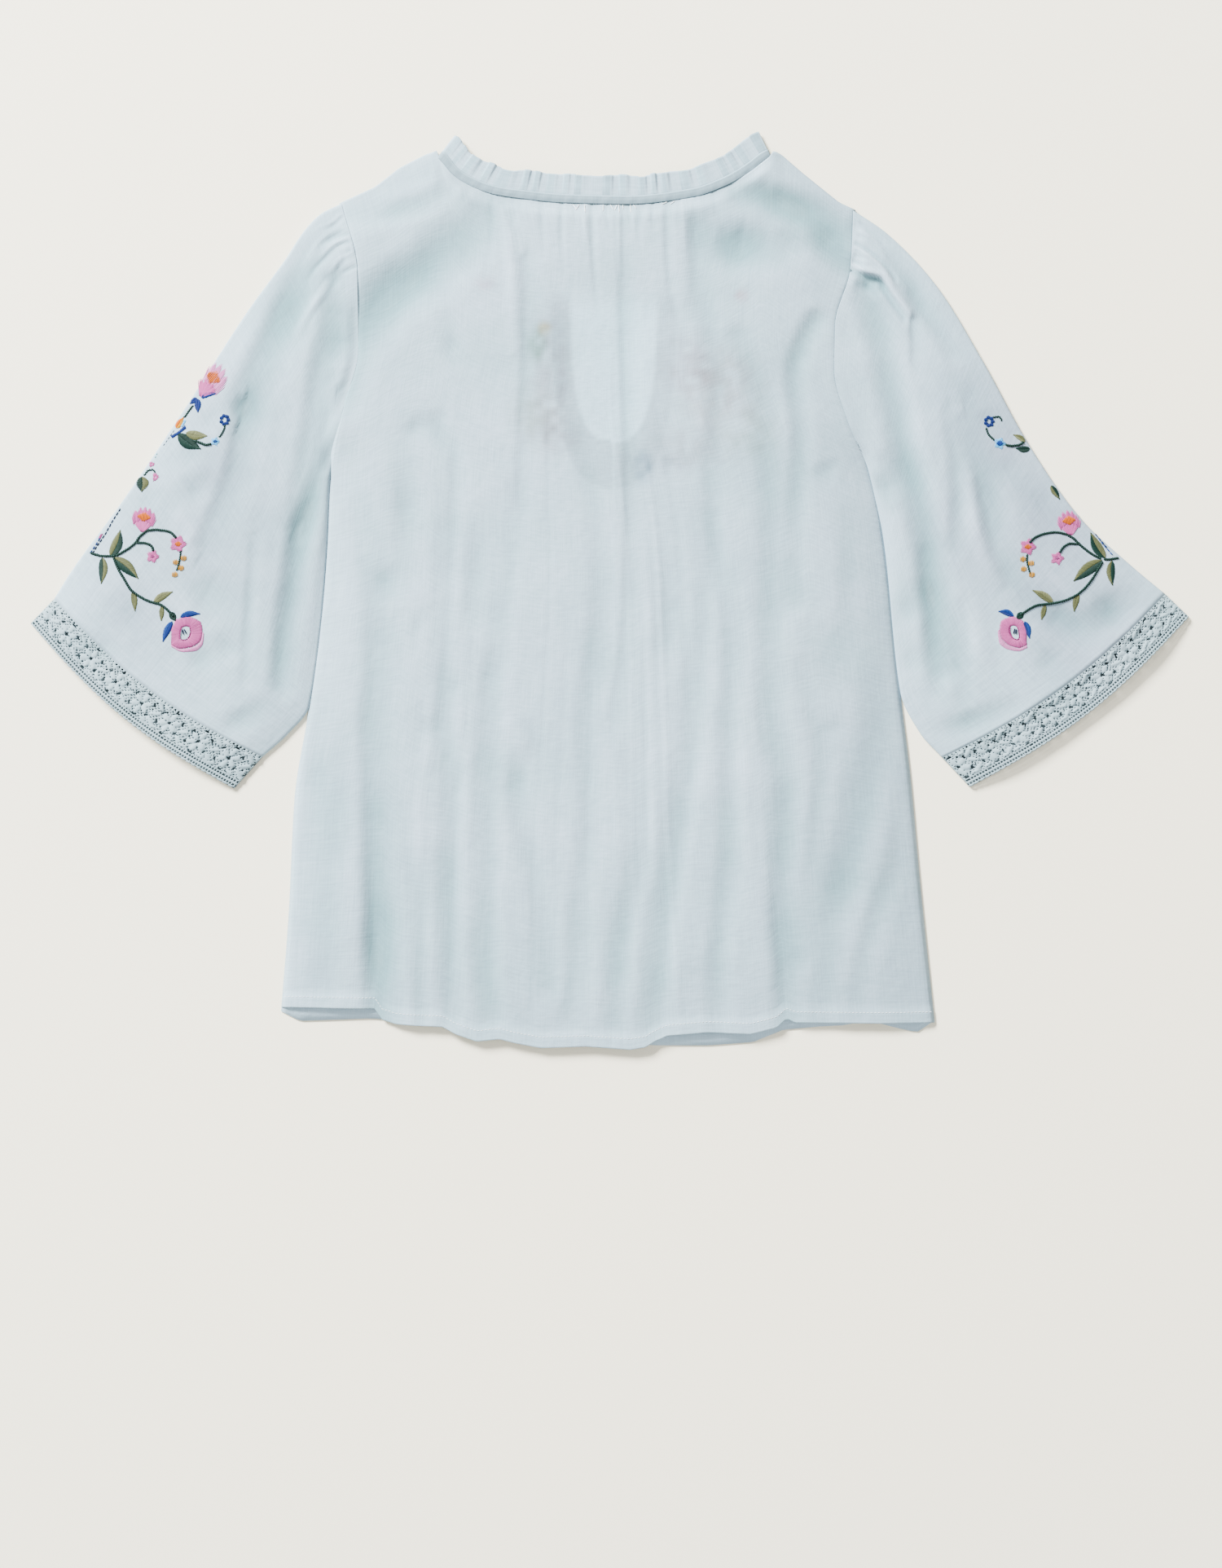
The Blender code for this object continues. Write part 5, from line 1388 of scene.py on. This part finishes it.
RIGHT_EMBROIDERY = (
    # Floret and a light-blue flower high on the sleeve
    (knots, ring(1213, 518, 5.0), 1.5, NAVY),
    (rope, ((1218, 513), (1225, 512), (1229, 517)), 1.3),
    (rope, ((1209, 526), (1212, 534), (1219, 541)), 1.4),
    (blossom, (1226, 545), 5.0, SKY, BLUE, 2.3, 5, 34),
    (rope, ((1233, 547), (1241, 548), (1249, 547), (1256, 543))),
    (leaf, (1264, 551), (1246, 551), 5.4, 0.6, DARK_GREEN),
    (leaf, (1258, 543), (1243, 534), 4.4, -0.8, PALE_OLIVE, OLIVE),
    (leaf, (1289, 596), (1300, 613), 5.2, 0.0, DARK_GREEN, OLIVE),
    # Lower spray
    (run, ((1336, 646), (1346, 658), (1358, 673)), DEEP_NAVY, 1.0, 3.0, 0.3, 0.2),
    (run, ((1341, 651), (1352, 667), (1365, 682)), BLUE, 1.0, 3.0, 0.3, 0.2),
    (rope, ((1372, 685), (1366, 686), (1360, 687), (1354, 687))),
    (leaf, (1356, 686), (1338, 654), 8.6, 1.4, DARK_GREEN, OLIVE),
    (leaf, (1364, 688), (1364, 719), 7.0, -1.2, DARK_GREEN, OLIVE),
    (leaf, (1352, 688), (1316, 714), 9.8, -1.0, DARK_GREEN, OLIVE),
    (rope, ((1350, 686), (1340, 681), (1330, 674), (1322, 667), (1316, 661))),
    (rope, ((1316, 661), (1306, 656), (1294, 654), (1280, 656), (1268, 661), (1262, 667))),
    (rope, ((1322, 668), (1312, 668), (1304, 672), (1299, 679))),
    (tulip, (1314, 659), (1309, 626), 19.0, PINK, ORANGE),
    (blossom, (1296, 686), 5.8, PINK, ROSE, 1.0, 5, 36, 1.0),
    (blossom, (1260, 672), 7.2, PINK, ORANGE, 2.2, 5, 48),
    (rope, ((1259, 681), (1259, 689), (1261, 698), (1263, 705)), 1.3),
    (knots, ((1254, 687), (1264, 692), (1255, 699), (1265, 706)), 2.4, YELLOW),
    (rope, ((1352, 690), (1346, 700), (1337, 714), (1326, 726), (1316, 733), (1304, 738), (1290, 741),
        (1273, 743), (1251, 755))),
    (leaf, (1292, 741), (1266, 725), 6.0, -1.0, OLIVE, PALE_OLIVE),
    (leaf, (1282, 743), (1277, 761), 4.4, 0.0, OLIVE),
    (leaf, (1322, 729), (1317, 751), 5.0, -0.6, OLIVE),
    (leaf, (1254, 752), (1246, 762), 5.6, 0.0, DARK_GREEN),
    (leaf, (1243, 757), (1224, 751), 5.0, -1.2, NAVY, BLUE),
    (leaf, (1256, 763), (1262, 784), 5.4, 0.6, BLUE, NAVY),
    (
        rose,
        ((1254, 762), (1241, 757), (1227, 763), (1225, 773), (1228, 784), (1238, 793), (1250, 796), (1259, 792),
            (1259, 776)),
        ((1249, 769), (1242, 767), (1235, 769), (1234, 775), (1237, 782), (1243, 786), (1250, 787), (1253, 784),
            (1252, 776)),
        ((1223, 776), (1225, 790), (1236, 798), (1248, 800), (1259, 796)),
        (((1244, 769), (1241, 779)), ((1247, 770), (1246, 780))),
    ),
)


def stitch_piece(name, stitches, cloth):
    """One piece of all the stitches of a place, laid on the cloth under them."""
    rows = np.array([row[:6] for row in stitches])
    dye = np.array([linear(row[6])[:3] for row in stitches])
    rows[:, :4] += hand.uniform(-0.12, 0.12, (len(rows), 4))
    dye = dye * hand.uniform(0.86, 1.12, (len(rows), 1))
    tree = BVHTree.FromObject(cloth, bpy.context.evaluated_depsgraph_get())
    down = Vector((0.0, 0.0, -1.0))

    def heights(places):
        """Height of the cloth under each place, and nan beside it."""
        hits = [tree.ray_cast(Vector((x * MM, y * MM, 0.05)), down)[0] for x, y in places]
        return np.array([np.nan if hit is None else hit.z / MM for hit in hits])

    z0 = heights(rows[:, :2])
    landed = ~np.isnan(z0)
    rows, dye, z0 = rows[landed], dye[landed], z0[landed]
    start, end, width, lift = rows[:, :2], rows[:, 2:4], rows[:, 4:5], rows[:, 5:]
    z1, z2 = (np.nan_to_num(heights(places), nan=BESIDE_CLOTH) for places in (0.5 * (start + end), end))
    z0, z1, z2 = z0[:, None], z1[:, None], z2[:, None]
    ahead = end - start
    length = np.maximum(np.linalg.norm(ahead, axis=1), 0.2)[:, None]
    ahead = ahead / length
    side = np.stack([-ahead[:, 1], ahead[:, 0]], axis=1)
    t = STITCH_POINTS[:, 0] + 0.5
    across, up = STITCH_POINTS[:, 1], STITCH_POINTS[:, 2]
    plan = start[:, None] + ahead[:, None] * (length * t)[..., None]
    plan = plan + side[:, None] * (width * across)[..., None]
    z = z0 * (1 - t) + z2 * t + (z1 - 0.5 * (z0 + z2)) * 4 * t * (1 - t)
    z = z + lift + width * (0.75 * up + 0.2) - 0.3 * width * (2 * t - 1) ** 4
    count = len(STITCH_POINTS)
    faces = [tuple(k * count + corner for corner in face) for k in range(len(rows)) for face in STITCH_FACES]
    colours = np.repeat(np.column_stack([dye, np.ones(len(dye))]), count, axis=0)
    return new_piece(name, np.dstack([plan, z]).reshape(-1, 3), faces, THREAD, "dye", colours)


# Loops of the gathering thread under the binding, as places in the photograph
GATHER_LOOPS = (
    # start across, end across, end down
    (703, 708, 259),
    (711, 706, 260),
    (717, 718, 263),
    (740, 740, 261),
    (749, 753, 260),
    (757, 754, 260),
    (759, 760, 263),
    (764, 765, 258),
    (773, 774, 263),
    (777, 781, 258),
    (812, 819, 249),
    (822, 828, 248),
)


def back_sewing():
    """The hem's stitch line and the little gather stitches under the neck binding."""
    stitches = []
    x = np.linspace(BACK_HEM[0][0] + 2, BACK_HEM[-1][0] - 2, 200)
    run(stitches, np.stack([x, hem_y(x) + HEM_TURNING - 0.7], axis=1), SEWING, 0.42, 1.9, 0.9)
    for start_x, end_x, end_y in GATHER_LOOPS:
        sew(stitches, spots((start_x, 252)), spots((end_x, end_y)), 0.8, SEWING, 0.1)
    return stitches


embroidery_left = stitch_piece("embroidery_left", embroidered(LEFT_EMBROIDERY), sleeve_left)
embroidery_right = stitch_piece("embroidery_right", embroidered(RIGHT_EMBROIDERY), sleeve_right)
hem_stitches = stitch_piece("hem_stitches", back_sewing(), back_panel)

STANDS_FOR = (
    (back_panel, "back", "voile"),
    (front_panel, "front", "voile"),
    (facing, "notch_facing", "voile"),
    (sleeve_left, "sleeve_left", "voile"),
    (sleeve_right, "sleeve_right", "voile"),
    (lace_left, "cuff_lace_left", "lace"),
    (lace_right, "cuff_lace_right", "lace"),
    (binding, "neck_binding", "voile"),
    (frill, "neck_ruffle", "voile"),
)
for piece, cad_node, finish_slot in STANDS_FOR:
    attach(piece, "root")
    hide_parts(cad_node)
for piece in (embroidery_left, embroidery_right, hem_stitches):
    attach(piece, "root")

# Floor, light and camera

bpy.ops.object.select_all(action="DESELECT")
bpy.ops.mesh.primitive_plane_add(size=8.0, location=(0.0, 0.0, -0.0003))
floor = bpy.context.active_object
floor.name = "floor"
bpy.ops.object.transform_apply(location=True, rotation=True, scale=True)
paper, _, _ = new_material("matt painted paper", {"Base Color": linear("#f7f1da"), "Roughness": 0.9})
floor.data.materials.append(paper)


def soft_box(name, location, size, energy):
    """A rectangular studio light that faces the garment's middle."""
    light = bpy.data.lights.new(name, "AREA")
    light.shape = "RECTANGLE"
    light.size, light.size_y = size
    light.energy = energy
    lamp = bpy.data.objects.new(name, light)
    bpy.context.scene.collection.objects.link(lamp)
    lamp.location = location
    lamp.rotation_euler = (-Vector(location)).to_track_quat("-Z", "Y").to_euler()


soft_box("key softbox", (-3.7, 4.1, 3.1), (2.4, 1.8), 2760.0)
soft_box("fill softbox", (1.4, -3.2, 3.4), (2.6, 2.6), 110.0)

world = bpy.data.worlds.new("studio")
world.use_nodes = True
world.node_tree.nodes["Background"].inputs["Color"].default_value = (1.0, 1.0, 1.0, 1.0)
world.node_tree.nodes["Background"].inputs["Strength"].default_value = 0.75
bpy.context.scene.world = world

camera = bpy.data.cameras.new("camera")
camera.lens = 75.4
camera.clip_end = 20.0
eye = bpy.data.objects.new("camera", camera)
bpy.context.scene.collection.objects.link(eye)
eye.location = (0.001, -0.144, 2.5)
bpy.context.scene.camera = eye
